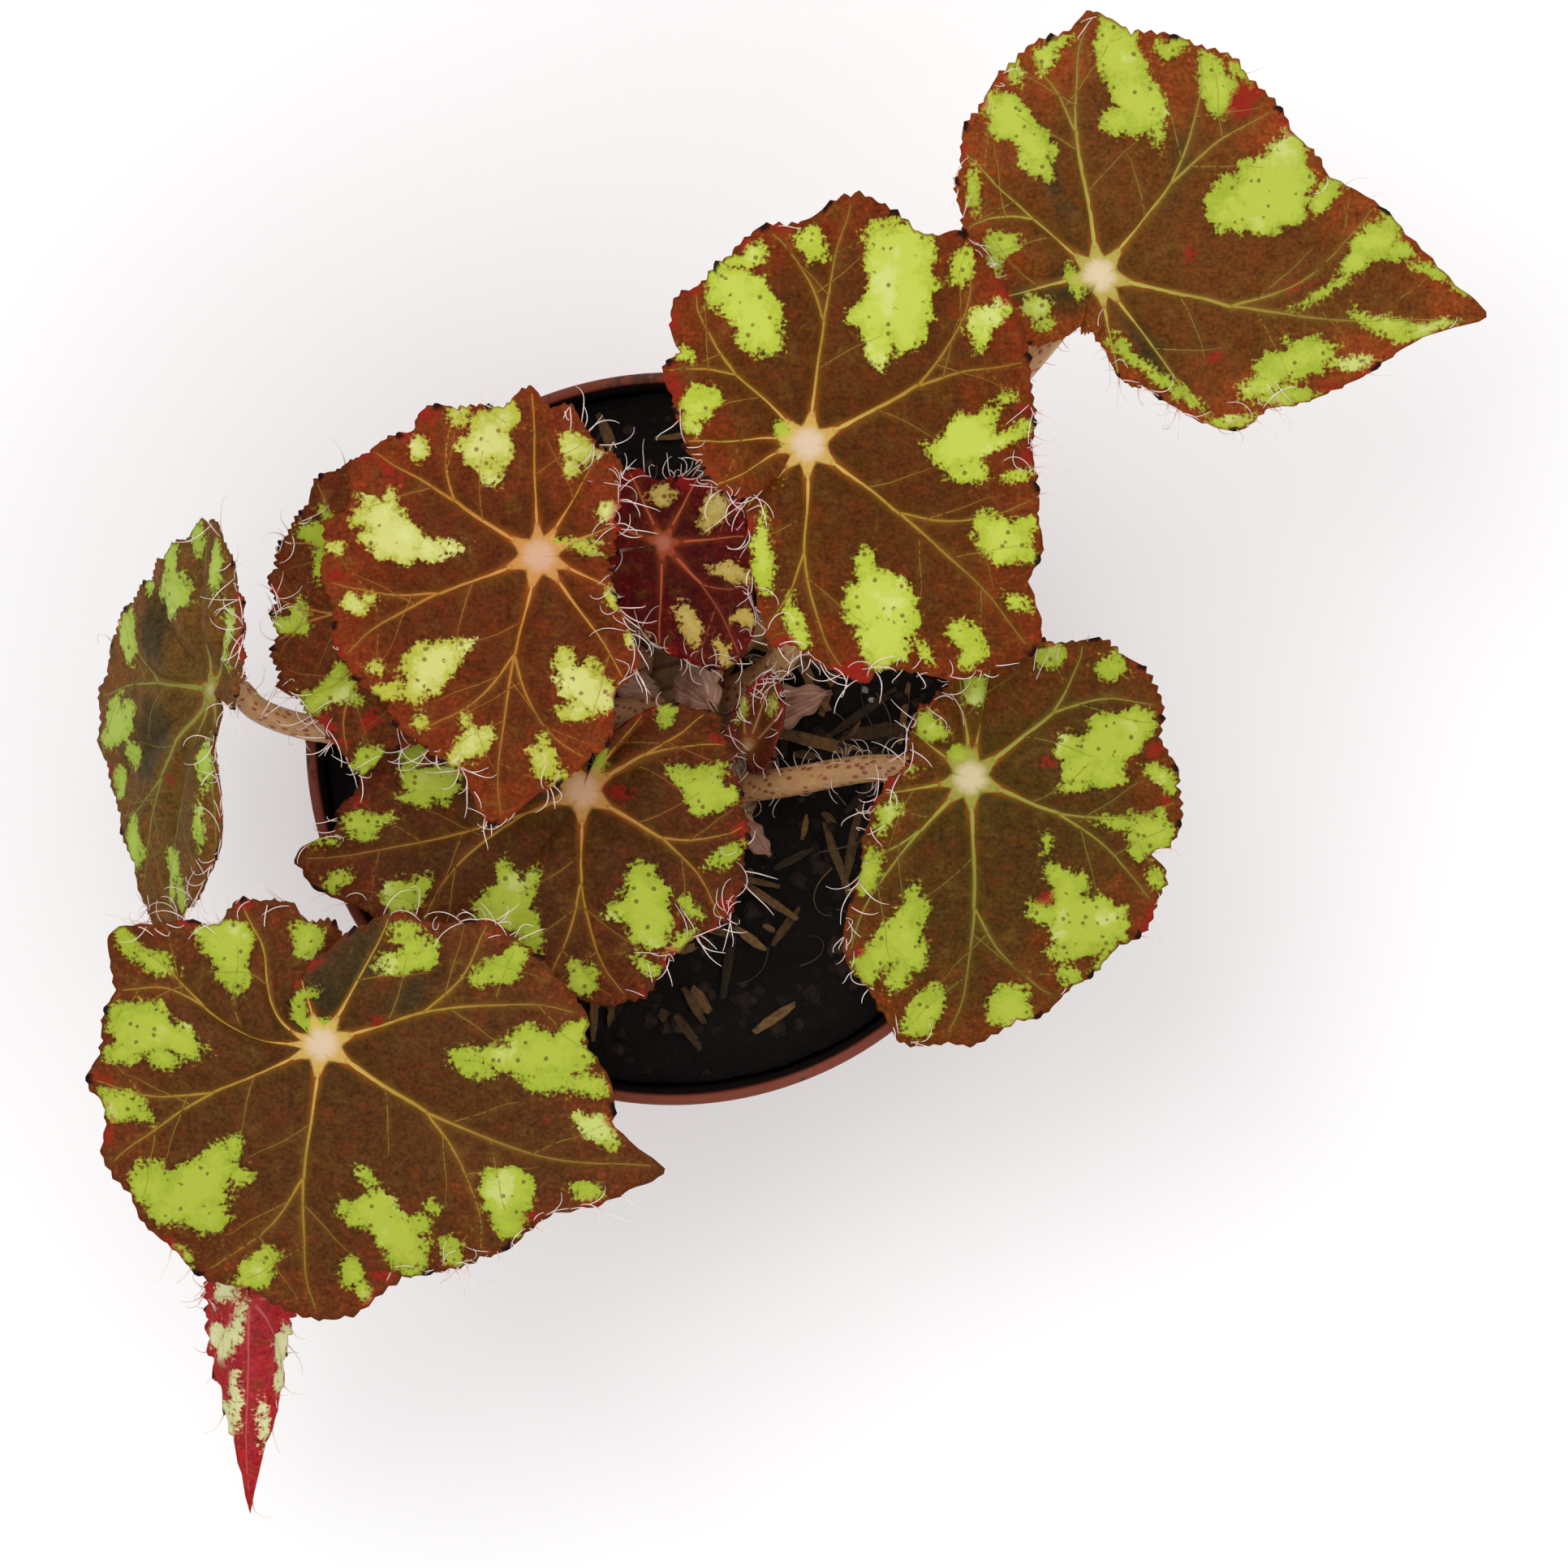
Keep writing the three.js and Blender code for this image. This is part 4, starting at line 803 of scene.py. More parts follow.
def folded(points, fold):
    """Bends the blade on both sides of one rib."""
    if not fold:
        return points
    along_bearing, radius, degrees, side = fold
    a, limit = math.radians(along_bearing), math.radians(degrees)
    x, y, z = points.T
    along = x * math.cos(a) + y * math.sin(a)
    across = -x * math.sin(a) + y * math.cos(a)
    turn = np.minimum(np.abs(across) / radius, limit)
    straight = np.abs(across) - turn * radius
    out = radius * np.sin(turn) + straight * math.cos(limit) - side * z * np.sin(turn)
    rise = side * (radius * (1 - np.cos(turn)) + straight * math.sin(limit))
    s = np.sign(across) * out
    moved = (along * math.cos(a) - s * math.sin(a), along * math.sin(a) + s * math.cos(a))
    return np.stack([*moved, rise + z * np.cos(turn)], axis=1)


def leaf_turn(leaf):
    """The rotation that leans a leaf down towards a bearing."""
    azimuth, degrees = (math.radians(a) for a in leaf["lean"])
    axis = Vector((-math.sin(azimuth), math.cos(azimuth), 0))
    return np.array(Matrix.Rotation(degrees, 3, axis))


print("fold and turn ready")

# %% Points on a blade
HUB_RADIUS = 3.4  # the flat middle, over the stalk
SLIT = 0.6  # degrees that each lobe stays off the middle of the slit at the stalk
WAVE_TURN = 44  # radians of the wave round the whole edge, about seven waves
VEIN_DIP = 0.45


def near_slit(u):
    """1 at the first side of the slit and 1 at the last side, both 0 further off."""
    return np.maximum(0, 1 - u / 0.3), np.maximum(0, 1 - (1 - u) / 0.3)


def opened_bearing(leaf, u, v, bearing):
    """Near the stalk the two lobes are pulled together until only a slit is between them."""
    first, last = slit_sides(leaf)
    slit_first = leaf["sinus"] + SLIT + 360 * round((first - leaf["sinus"]) / 360)
    slit_last = leaf["sinus"] - SLIT + 360 * round((last - leaf["sinus"]) / 360)
    near_first, near_last = near_slit(u)
    pull = (slit_first - first) * near_first + (slit_last - last) * near_last
    return bearing + (1 - smooth(v / 0.75)) * pull


def blade_points(leaf, u, v, lift=0.0):
    """Points of the blade in millimetres; lift raises them off its middle."""
    u, v = np.asarray(u, dtype=float), np.asarray(v, dtype=float)
    bearing, r, near, width = blade_fields(leaf, u, v)
    turned = np.radians(opened_bearing(leaf, u, v, bearing))
    x, y = r * np.cos(turned), r * np.sin(turned)
    away = smooth((r - HUB_RADIUS) / 8)
    near_first, near_last = near_slit(u)
    droop = leaf["droop"] * (r / 40) ** 2
    puff = leaf["puff"] * puff_at(leaf["ribs"], bearing) * (1 - 0.6 * v**3)
    wave = leaf["wave"] * np.sin(u * WAVE_TURN + leaf["at"][1]) * v**4
    lobes = leaf["lift"] * (near_last - near_first) * smooth(v / 0.75)
    dip = VEIN_DIP * np.exp(-((near / 0.9) ** 2)) * np.minimum(width / 0.2, 1)
    crinkle = 0.1 * np.sin(1.9 * x + 0.8 * y) * np.sin(1.7 * y - 0.6 * x)
    z = (leaf["bowl"] + puff + lobes - dip + crinkle) * away - droop + wave
    points = folded(np.stack([x, y, z + lift], axis=1), leaf["fold"])
    return points @ leaf_turn(leaf).T + np.array(leaf["at"])


print("the stalk of", LEAVES[0]["name"], "meets it at", blade_points(LEAVES[0], [0.5], [0])[0])

# %% [markdown]
# ## Blades
# The blotches were measured as ovals, and several that overlap make one ragged blotch when lumpy
# noise pushes their edges about. spot_depth() says how deep inside them each point lies.
#
# Then a sheet of cells round the stalk is laid out with blade_points(), and Solidify gives it its
# thickness. Some numbers are stored on every point: how deep it lies inside a blotch, how far
# it is from the edge and from the stalk, and how close to a vein. The paint reads them. The
# underside is the second material of the same piece.

# %% Ragged spots


def lumps(x, y, size, seed):
    """Smooth noise from -1 to 1 whose lumps are about size millimetres wide."""
    gx, gy = np.asarray(x) / size, np.asarray(y) / size
    ix, iy = np.floor(gx), np.floor(gy)
    fx, fy = smooth(gx - ix), smooth(gy - iy)

    def corner(i, j):
        return draw((ix + i) * 12.9 + (iy + j) * 78.2 + seed)

    near = corner(0, 0) + (corner(1, 0) - corner(0, 0)) * fx
    far = corner(0, 1) + (corner(1, 1) - corner(0, 1)) * fx
    return 2 * (near + (far - near) * fy) - 1


def spot_depth(leaf, spots, bearing, r):
    """Millimetres inside the nearest spot, below 0 outside; noise pushes its edge about."""
    x, y = r * np.cos(np.radians(bearing)), r * np.sin(np.radians(bearing))
    seed = leaf["at"][0]
    push_x = 0.8 * lumps(x, y, 2.6, seed) + 0.45 * lumps(x, y, 1.1, seed + 1)
    push_y = 0.8 * lumps(x, y, 2.4, seed + 2) + 0.45 * lumps(x, y, 1.0, seed + 3)
    first = leaf["outline"][0][0]
    depth = np.full(len(r), -20.0)
    for sx, sy, length, width, turn, *laps in spots:
        middle = (math.degrees(math.atan2(sy, sx)) - first + 10) % 360 + first - 10
        middle += 360 if laps else 0
        push = min(1.5, width / 2.5)
        dx, dy = x - sx + push_x * push, y - sy + push_y * push
        a = math.radians(turn)
        p = dx * math.cos(a) + dy * math.sin(a)
        q = dy * math.cos(a) - dx * math.sin(a)
        inside = (1 - np.hypot(p / length, q / width)) * min(length, width)
        inside = np.where(np.abs(bearing - middle) < 180, inside, -20)
        depth = np.maximum(depth, inside)
    return depth


print("upper right leaf's blotches:", len(LEAVES[0]["blotches"]))

# %% Build the blades
BLADE_THICKNESS = 0.5
UV_SPAN = 100  # the painting plane of a blade is this wide


def thicken(piece, thickness):
    """Solidify to both sides of a sheet."""
    solidify = piece.modifiers.new("thickness", "SOLIDIFY")
    solidify.thickness = thickness * MM
    solidify.offset = 0
    return solidify


def blade_sheet(leaf):
    """The blade's middle sheet, one fan at the stalk and rings of quads round it."""
    columns, rings = leaf["columns"], leaf["rings"]
    v = np.repeat(np.linspace(0, 1, rings + 1)[1:], columns + 1)
    u = np.tile(np.linspace(0, 1, columns + 1), rings)
    u, v = np.append(u, 0.5), np.append(v, 0.0)
    hub = len(u) - 1
    row = columns + 1
    faces = [(hub, i, i + 1) for i in range(columns)]
    for k in range(rings - 1):
        a = k * row
        faces += [(a + i, a + row + i, a + row + i + 1, a + i + 1) for i in range(columns)]
    bearing, r, near, width = blade_fields(leaf, u, v)
    attributes = {
        "blotch": spot_depth(leaf, leaf["blotches"], bearing, r),
        "red": spot_depth(leaf, leaf["reds"], bearing, r),
        "painted_shadow": spot_depth(leaf, leaf["painted_shadows"], bearing, r),
        "edge": reach_at(leaf["outline"], bearing) * (1 - v),
        "hub": r / leaf["star"],
        "glow": np.exp(-np.maximum(near - width, 0) / 0.4) * np.minimum(width / 0.3, 1),
        "tip": dark_tips(leaf, u),
    }
    a = np.radians(bearing)
    uv = np.stack([r * np.cos(a), r * np.sin(a)], axis=1) / UV_SPAN + 0.5
    sheet = mesh_piece(leaf["name"], blade_points(leaf, u, v), faces, attributes, uv)
    thicken(sheet, BLADE_THICKNESS).material_offset = 1
    return sheet


blades = {leaf["name"]: blade_sheet(leaf) for leaf in LEAVES}
print("blade faces:", sum(len(piece.data.polygons) for piece in blades.values()))

# %% [markdown]
# ## The tones of the leaves
# Young leaves are wine red, old ones olive, and the blotches go from lime to cream. Each leaf has
# its own tones of one and the same paint, picked from the plant:
#
# - ground, rim and wash_and_shade: the brown of the blade, of its edge and of the part round
#   the stalk, which is greener there and also darkened as painted shade of its folds
# - lime and pale: a blotch and its paler middle
# - vein, gold and pink: the veins, the rays of the star at the stalk and its middle

# %% Tones that leaves share
LIME = srgb(144, 158, 46)
LIME_PALE = srgb(164, 175, 62)
CREAM = srgb(206, 198, 112)
CREAM_PALE = srgb(206, 210, 146)
HUB_PINK = srgb(206, 182, 156)
VEIN_GOLD = srgb(198, 166, 86)
FLECK = srgb(150, 52, 22)
HALO = srgb(150, 64, 16)
RUST = srgb(112, 36, 15)
OLIVE = srgb(96, 66, 23)
# The next tone is the dark green of painted shade, where a lobe lies over another or the blade
# folds.
PAINTED_SHADOW = srgb(46, 44, 24)
EDGE_RED = srgb(140, 26, 22)
TOOTH_DARK = srgb(26, 10, 12)
PLAIN = dict(lime=LIME, pale=LIME_PALE, gold=VEIN_GOLD, pink=HUB_PINK)
print("shared tones ready")

# %% The tones of each leaf
TONES = {
    "leaf_upper_right": dict(
        PLAIN, ground=srgb(94, 52, 17), rim=srgb(130, 57, 21), wash_and_shade=srgb(64, 57, 19),
        lime=srgb(150, 164, 50), pale=srgb(174, 186, 72), vein=srgb(158, 138, 52),
        gold=srgb(178, 166, 80), pink=srgb(212, 192, 160),
    ),
    "leaf_upper_middle": dict(
        PLAIN, ground=srgb(80, 41, 10), rim=srgb(110, 43, 13), wash_and_shade=srgb(64, 42, 12),
        lime=srgb(160, 172, 52), pale=srgb(182, 192, 80), vein=srgb(164, 124, 40),
    ),
    "leaf_left_centre": dict(
        PLAIN, ground=srgb(86, 38, 13), rim=srgb(116, 45, 17), wash_and_shade=srgb(74, 42, 14),
        lime=srgb(166, 166, 58), pale=srgb(198, 198, 122), vein=srgb(174, 116, 40),
        gold=srgb(196, 142, 76), pink=srgb(198, 158, 130),
    ),
    "leaf_left_behind": dict(
        PLAIN, ground=srgb(78, 42, 14), rim=srgb(88, 36, 15), wash_and_shade=srgb(72, 46, 15),
        vein=srgb(150, 96, 36),
    ),
    "leaf_far_left": dict(
        PLAIN, ground=srgb(90, 64, 26), rim=srgb(104, 64, 26), wash_and_shade=srgb(66, 64, 34),
        lime=srgb(144, 164, 60), pale=srgb(164, 180, 84), vein=srgb(126, 118, 46),
        gold=srgb(140, 138, 60), pink=srgb(166, 156, 104),
    ),
    "leaf_lower_centre": dict(
        PLAIN, ground=srgb(70, 38, 14), rim=srgb(84, 35, 15), wash_and_shade=srgb(62, 44, 14),
        vein=srgb(158, 112, 38), gold=srgb(186, 138, 74), pink=srgb(200, 160, 126),
    ),
    "leaf_lower_left": dict(
        PLAIN, ground=srgb(77, 44, 17), rim=srgb(94, 44, 18), wash_and_shade=srgb(54, 42, 14),
        vein=srgb(164, 126, 42),
    ),
    "leaf_right": dict(
        PLAIN, ground=srgb(70, 45, 12), rim=srgb(98, 46, 13), wash_and_shade=srgb(62, 60, 18),
        vein=srgb(138, 126, 44), gold=srgb(150, 148, 62), pink=srgb(200, 182, 146),
    ),
    "leaf_young_red": dict(
        PLAIN, ground=srgb(68, 17, 15), rim=srgb(92, 18, 18), wash_and_shade=srgb(80, 26, 18),
        lime=srgb(190, 164, 78), pale=srgb(214, 200, 124), vein=srgb(186, 92, 54),
        gold=srgb(170, 84, 54), pink=srgb(190, 116, 92),
    ),
    "leaf_unfurling": dict(
        PLAIN, ground=srgb(152, 38, 46), rim=srgb(162, 28, 30), wash_and_shade=srgb(148, 40, 50),
        lime=srgb(198, 200, 140), pale=srgb(212, 210, 172), vein=srgb(184, 80, 76),
        gold=srgb(178, 84, 80), pink=srgb(178, 84, 80),
    ),
    "leaf_bud": dict(
        PLAIN, ground=srgb(96, 48, 26), rim=srgb(104, 40, 28), wash_and_shade=srgb(112, 76, 36),
        lime=LIME_PALE, pale=CREAM, vein=srgb(170, 120, 70), gold=srgb(150, 110, 66),
        pink=srgb(170, 130, 100),
    ),
}
print("tones for", len(TONES), "leaves")

# %% [markdown]
# ## Leaf paint
# The paint is laid on in the order in which a painter would: first the brown ground, redder at
# the edge, greener round the stalk and darkened there by painted shade, mottled with rust and
# olive, and with painted dark green shadows where a lobe lies over another or the blade folds.
# Then the blotches, where the stored depth plus two noises passes zero, paler in their middle
# and with a few dark dots. Then the edge with its wine-red spots and dark tooth tips. Last the
# star: a red halo along the veins, gold rays and a pink middle, where the stalk stands under
# the blade.

# %% The ground


class LeafPaint(Paint):
    """A paint with the tones of one leaf and three noises, from coarse to fine."""

    def __init__(self, name, tones):
        super().__init__(name, roughness=0.55, Specular_IOR_Level=0.04)
        self.tones = tones
        self.where = self.place("UV")
        self.clouds = self.noise(self.where, 9, 4, 0.6)
        self.patches = self.noise(self.where, 48, 3, 0.6)
        self.grain = self.noise(self.where, 150, 3, 0.6)


def leaf_ground(paint):
    """Brown, redder near the edge, greener round the stalk, mottled, and shaded by every noise."""
    clouds, patches, grain = paint.clouds, paint.patches, paint.grain
    near_edge = (clouds * 34 - 8 - paint.attribute("edge")).step(-8, 10)
    tone = paint.mix(near_edge * 0.8, paint.tones["ground"], paint.tones["rim"])
    flecks = (grain + patches * 0.7 - 0.93).step(0, 0.14) * near_edge
    tone = paint.mix(flecks * 0.3, tone, FLECK)
    # Round the stalk: the leaf's greener middle, and painted shade of the valleys and folds there.
    inner = (15 - paint.attribute("hub") + (clouds - 0.5) * 26).step(0, 18)
    tone = paint.mix(inner * 0.6, tone, paint.tones["wash_and_shade"])
    mottle = paint.noise(paint.where, 27, 4, 0.65)
    tone = paint.mix((mottle - 0.5).step(0, 0.2) * 0.28, tone, RUST)
    tone = paint.mix((0.5 - mottle).step(0, 0.2) * 0.5, tone, OLIVE)
    # Painted shade: dark green shadows in the listed spots, where a lobe lies over another or the
    # blade folds.
    shadowed = paint.attribute("painted_shadow") + (mottle - 0.5) * 8 + (patches - 0.5) * 2
    tone = paint.mix(shadowed.step(-1.2, 2) * 0.75, tone, PAINTED_SHADOW)
    shade = 1 + (grain - 0.5) * 1.9 + (patches - 0.5) * 1.3 + (clouds - 0.5) * 0.5
    shaded = {"Hue": 0.5, "Saturation": 1.0, "Value": shade, "Color": tone}
    return paint.node("HueSaturation", None, shaded)


print("ground ready")

# %% The blotches


def leaf_blotches(paint, tone):
    """The tone with blotches on it, and the mask that is 1 inside them."""
    clouds, patches, grain = paint.clouds, paint.patches, paint.grain
    dots = paint.node("TexVoronoi", None, {"Vector": paint.where, "Scale": 52.0})
    inside = paint.attribute("blotch") + 0.15 + (patches - 0.5) * 2.6 + (grain - 0.5) * 3.4
    mask = inside.step(-0.4, 0.45)
    middle = (inside * 0.8 + (clouds - 0.5) * 5).step(0, 1.8)
    lime = paint.mix(middle * 0.8, paint.tones["lime"], paint.tones["pale"])
    lime = paint.mix((clouds - 0.56).step(0, 0.1) * middle * 0.4, lime, CREAM_PALE)
    dot = (0.25 - dots).step(0, 0.1) * (patches - 0.44).step(0, 0.05)
    lime = paint.mix(dot * 0.7, lime, paint.tones["ground"])
    return paint.mix(mask, tone, lime), mask


print("blotches ready")

# %% The edge and the star


def leaf_edge(paint, tone):
    """A thin rim, wine-red spots at and near the edge, and dark tips on the teeth."""
    clouds, patches, grain = paint.clouds, paint.patches, paint.grain
    edge = paint.attribute("edge")
    rim = (0.6 - edge + (patches - 0.5) * 1.5).step(0, 0.4)
    tone = paint.mix(rim * 0.55, tone, paint.tones["rim"])
    red_spot = (2.6 - edge).step(0, 2.2) * (clouds + patches * 0.3 - 0.73).step(0, 0.05)
    tone = paint.mix(red_spot * 0.7, tone, EDGE_RED)
    wine = (paint.attribute("red") + (patches - 0.5) * 2.4 + (grain - 0.5) * 4.5).step(-0.3, 0.8)
    tone = paint.mix(wine * 0.75, tone, EDGE_RED)
    tip = (1.3 - edge).step(0, 0.8) * paint.attribute("tip").step(0, 0.3)
    return paint.mix(tip * 0.95, tone, TOOTH_DARK)


def leaf_star(paint, tone, mask):
    """A red halo along the veins near the stalk, golden rays and a pink middle."""
    hub, glow = paint.attribute("hub"), paint.attribute("glow")
    halo = glow.step(0.05, 0.6) * (1 - mask) * (15 - hub).step(0, 12)
    tone = paint.mix(halo * 0.45, tone, HALO)
    rays = hub + (paint.patches - 0.5) * 1.6 + (paint.grain - 0.5) * 0.8
    tone = paint.mix((3.2 - rays + glow * 2.8).step(0, 1.6) * 0.8, tone, paint.tones["gold"])
    middle = (2.7 - rays + glow * 0.9).step(0, 2.2)
    return paint.mix(middle * 0.95, tone, paint.tones["pink"])


print("edge and star ready")

# %% The two sides of a leaf


def leaf_paint(name, tones):
    """The top of a leaf, from the ground up."""
    paint = LeafPaint(name, tones)
    tone, mask = leaf_blotches(paint, leaf_ground(paint))
    tone = paint.mix(paint.attribute("glow") * (0.26 - mask * 0.2), tone, tones["vein"])
    tone = leaf_edge(paint, tone)
    paint.colour(leaf_star(paint, tone, mask))
    paint.bump(paint.patches * 0.6 + paint.grain * 0.5, 0.00025, 0.7)
    return paint.material


def underside_paint():
    """Crimson between the veins and pale green under the blotches."""
    paint = Paint("leaf_underside", roughness=0.55, Specular_IOR_Level=0.15)
    where = paint.place("UV")
    blotch, glow = paint.attribute("blotch"), paint.attribute("glow")
    ragged = paint.noise(where, 55, 4, 0.6)
    cells = {"Vector": where, "Scale": 46.0}
    net = paint.node("TexVoronoi", {"feature": "DISTANCE_TO_EDGE"}, cells)
    tone = paint.mix(ragged, srgb(120, 24, 32), srgb(168, 46, 52))
    inside = (blotch + (ragged - 0.5) * 4).step(-0.4, 0.8)
    tone = paint.mix(inside * 0.85, tone, srgb(196, 200, 142))
    veined = (0.06 - net).step(0, 0.06) * 0.4 + glow * 0.4
    tone = paint.mix(veined, tone, srgb(200, 150, 108))
    paint.colour(tone)
    paint.bump((0.2 - net).step(0, 0.2), 0.0003, 0.7)
    return paint.material


print("leaf paint ready")

# %% Paint the blades
SKIN_SLOTS = {"leaf_young_red": "young_blade", "leaf_unfurling": "underside"}
underside = underside_paint()
for leaf in LEAVES:
    name = leaf["name"]
    top = leaf_paint(name + "_top", TONES[name])
    blades[name].data.materials.append(top)
    blades[name].data.materials.append(top if name == "leaf_unfurling" else underside)
    apply_modifiers(blades[name])
    settle(blades[name], name + "_skin", SKIN_SLOTS.get(name, "leaf_blade"), name + "_blade")
print("blades painted:", len(blades))

# %% [markdown]
# ## Veins and hairs as swept strands
# A vein is a low rounded cord that lies on the blade, and a hair is a thin curly one that stands
# off it. Both are the same thing to build: a line of points, a width, a height and a ring of a few
# corners at each point. Real geometry keeps them crisp at any distance. The cords rise out of the
# blade outside the painted star, and where they cross a blotch they turn lime like it.

# %% Strands


def strands(name, lines, sides, **values):
    """One mesh of closed strands. A line is (points, across, up, width, height) per sample.

    Each of the values is stored on the points; it has one number per sample of each line.
    """
    points, faces = [], []
    angles = np.arange(sides) / sides * 2 * np.pi
    start = 0
    for centre, across, up, width, height in lines:
        ring = (
            centre[:, None]
            + across[:, None] * (np.cos(angles)[:, None] * np.asarray(width)[:, None, None])
            + up[:, None] * (np.sin(angles)[:, None] * np.asarray(height)[:, None, None])
        )
        n = len(centre)
        points.append(ring.reshape(-1, 3))
        for i in range(n - 1):
            a = start + i * sides
            for j in range(sides):
                b = (j + 1) % sides
                faces.append((a + j, a + b, a + sides + b, a + sides + j))
        faces.append(tuple(start + j for j in range(sides))[::-1])
        faces.append(tuple(start + (n - 1) * sides + j for j in range(sides)))
        start += n * sides
    attributes = {key: np.repeat(np.concatenate(rows), sides) for key, rows in values.items()}
    return mesh_piece(name, np.concatenate(points), faces, attributes)


def unit(vectors):
    """The same directions, each of length 1."""
    return vectors / np.maximum(np.linalg.norm(vectors, axis=1, keepdims=True), 1e-9)


def on_blade(leaf, bearing, r, lift):
    """Points on the blade at a bearing and distance, and the directions up off it."""
    first, last = slit_sides(leaf)
    u = np.clip((bearing - first) / (last - first), 0.002, 0.998)
    v = np.clip(r / reach_at(leaf["outline"], bearing), 0.01, 1)
    step = 0.004
    here = blade_points(leaf, u, v, lift)
    up = unit(np.cross(
        blade_points(leaf, u, v + step, lift) - here,
        blade_points(leaf, u + step, v, lift) - here,
    )) * -1
    return here, up


print("strands ready")

# %% Veins
CORD_RADIUS = 4.2  # nearer the stalk the veins are only painted on
THICK_VEIN = 0.2  # half width from which a vein shows on the underside as well
FAINT = 25  # extra distance that makes the fine veins as faint as the far parts


def vein_strands(leaf):
    """The cords of one leaf, the thick ones on its underside as well."""
    lines, along, blotch = [], [], []
    start = CORD_RADIUS * leaf["star"]
    for bearing, r, width in leaf["lines"]:
        bearing, r, width = bearing[r > start], r[r > start], width[r > start]
        thick = width[0] > THICK_VEIN
        for side in (1, -1) if thick else (1,):
            sunk = 0.2 * (1 - smooth((r - start) / 3)) if thick else 0.0
            here, up = on_blade(leaf, bearing, r, side * (BLADE_THICKNESS / 2 + 0.02 - sunk))
            across = unit(np.cross(up, np.gradient(here, axis=0)))
            height = np.clip(width * 0.4, 0.07, 0.13) if side > 0 else width * 0.9
            lines.append((here, across, up, width, height))
            along.append(r + (0 if thick else FAINT))
            blotch.append(spot_depth(leaf, leaf["blotches"], bearing, r))
    return strands(leaf["name"] + "_veins", lines, 6, along=along, blotch=blotch)


def vein_paint(name, tones, star):
    """Pink at the stalk, then gold, the vein's own tone, and outwards nearly the leaf's brown."""
    paint = Paint(name, roughness=0.55, Specular_IOR_Level=0.15)
    along = paint.attribute("along")
    patchy = paint.noise(paint.place(), 300, 3)
    fade = (along - 8 + (patchy - 0.5) * 12).step(0, 34)
    tone = paint.mix(fade * 0.5, tones["vein"], tones["ground"])
    blotch = (paint.attribute("blotch") + 0.1).step(-0.4, 0.4)
    tone = paint.mix(blotch * 0.8, tone, tones["lime"])
    tone = paint.mix((17 * star - along).step(0, 13) * 0.7, tone, tones["gold"])
    middle = (4.6 * star - along + (patchy - 0.5) * 2).step(0, 2.2)
    paint.colour(paint.mix(middle, tone, tones["pink"]))
    return paint.material


for leaf in LEAVES:
    name = leaf["name"]
    piece = vein_strands(leaf)
    piece.data.materials.append(vein_paint(name + "_vein", TONES[name], leaf["star"]))
    settle(piece, name + "_veins", SKIN_SLOTS.get(name, "leaf_blade"))
print("veins laid on", len(LEAVES), "leaves")

# %% [markdown]
# ## The fringe of hairs
# A begonia of this kind wears eyelashes: curly, pinkish white hairs, four to ten millimetres
# long, that spring from the teeth of its leaves. Each one here starts at the edge, leaves it at a
# chance angle and bends a little more at every step. They stand closer where the leaf was last
# to unfold, so each leaf lists the bearings of its thick fringe.

# %% Where the fringe is thick
FRINGE = {  # stretches of the edge, as bearings, where the hairs stand close
    "leaf_upper_right": [(268, 330), (505, 570)],
    "leaf_upper_middle": [(219, 310), (345, 372), (536, 584)],
    "leaf_left_centre": [(6, 82), (240, 274), (300, 352)],
    "leaf_left_behind": [(500, 640)],
    "leaf_far_left": [(335, 446), (600, 678)],
    "leaf_lower_centre": [(85, 110), (186, 206), (285, 345)],
    "leaf_lower_left": [(100, 150), (282, 330), (386, 425)],
    "leaf_right": [(166, 262), (404, 518)],
    "leaf_young_red": [(200, 540)],
    "leaf_unfurling": [(105, 200), (360, 435)],
    "leaf_bud": [(265, 595)],
}
print("stretches of fringe:", sum(len(stretches) for stretches in FRINGE.values()))

# %% One hair
chance = np.random.default_rng(11)


def curl(start, heading, length, steps=8):
    """A line of points that sets out along a heading and bends more and more to one side."""
    axis = unit(chance.normal(size=(1, 3)))[0]
    bend = chance.uniform(0.1, 0.26)
    points = [start]
    for k in range(steps):
        axis = unit(axis[None] + chance.normal(0, 0.25, (1, 3)))[0]
        heading = heading + np.cross(axis, heading) * bend * (0.6 + 0.2 * k) + (0, 0, -0.03)
        heading = heading / np.linalg.norm(heading)
        points.append(points[-1] + heading * length / steps)
    return np.array(points)


def hair_strand(points, thickness):
    """The ring directions and the tapering width of one hair."""
    heading = unit(np.gradient(points, axis=0))
    across = unit(np.cross(heading, (0.31, 0.22, 0.92)))
    up = np.cross(heading, across)
    width = thickness * np.linspace(1, 0.35, len(points))
    return points, across, up, width, width


print("hairs ready")

# %% Grow the hairs
HAIR_THICKNESS = 0.13
STRAY_HAIRS = 0.06  # how likely a hair outside the fringe is to grow


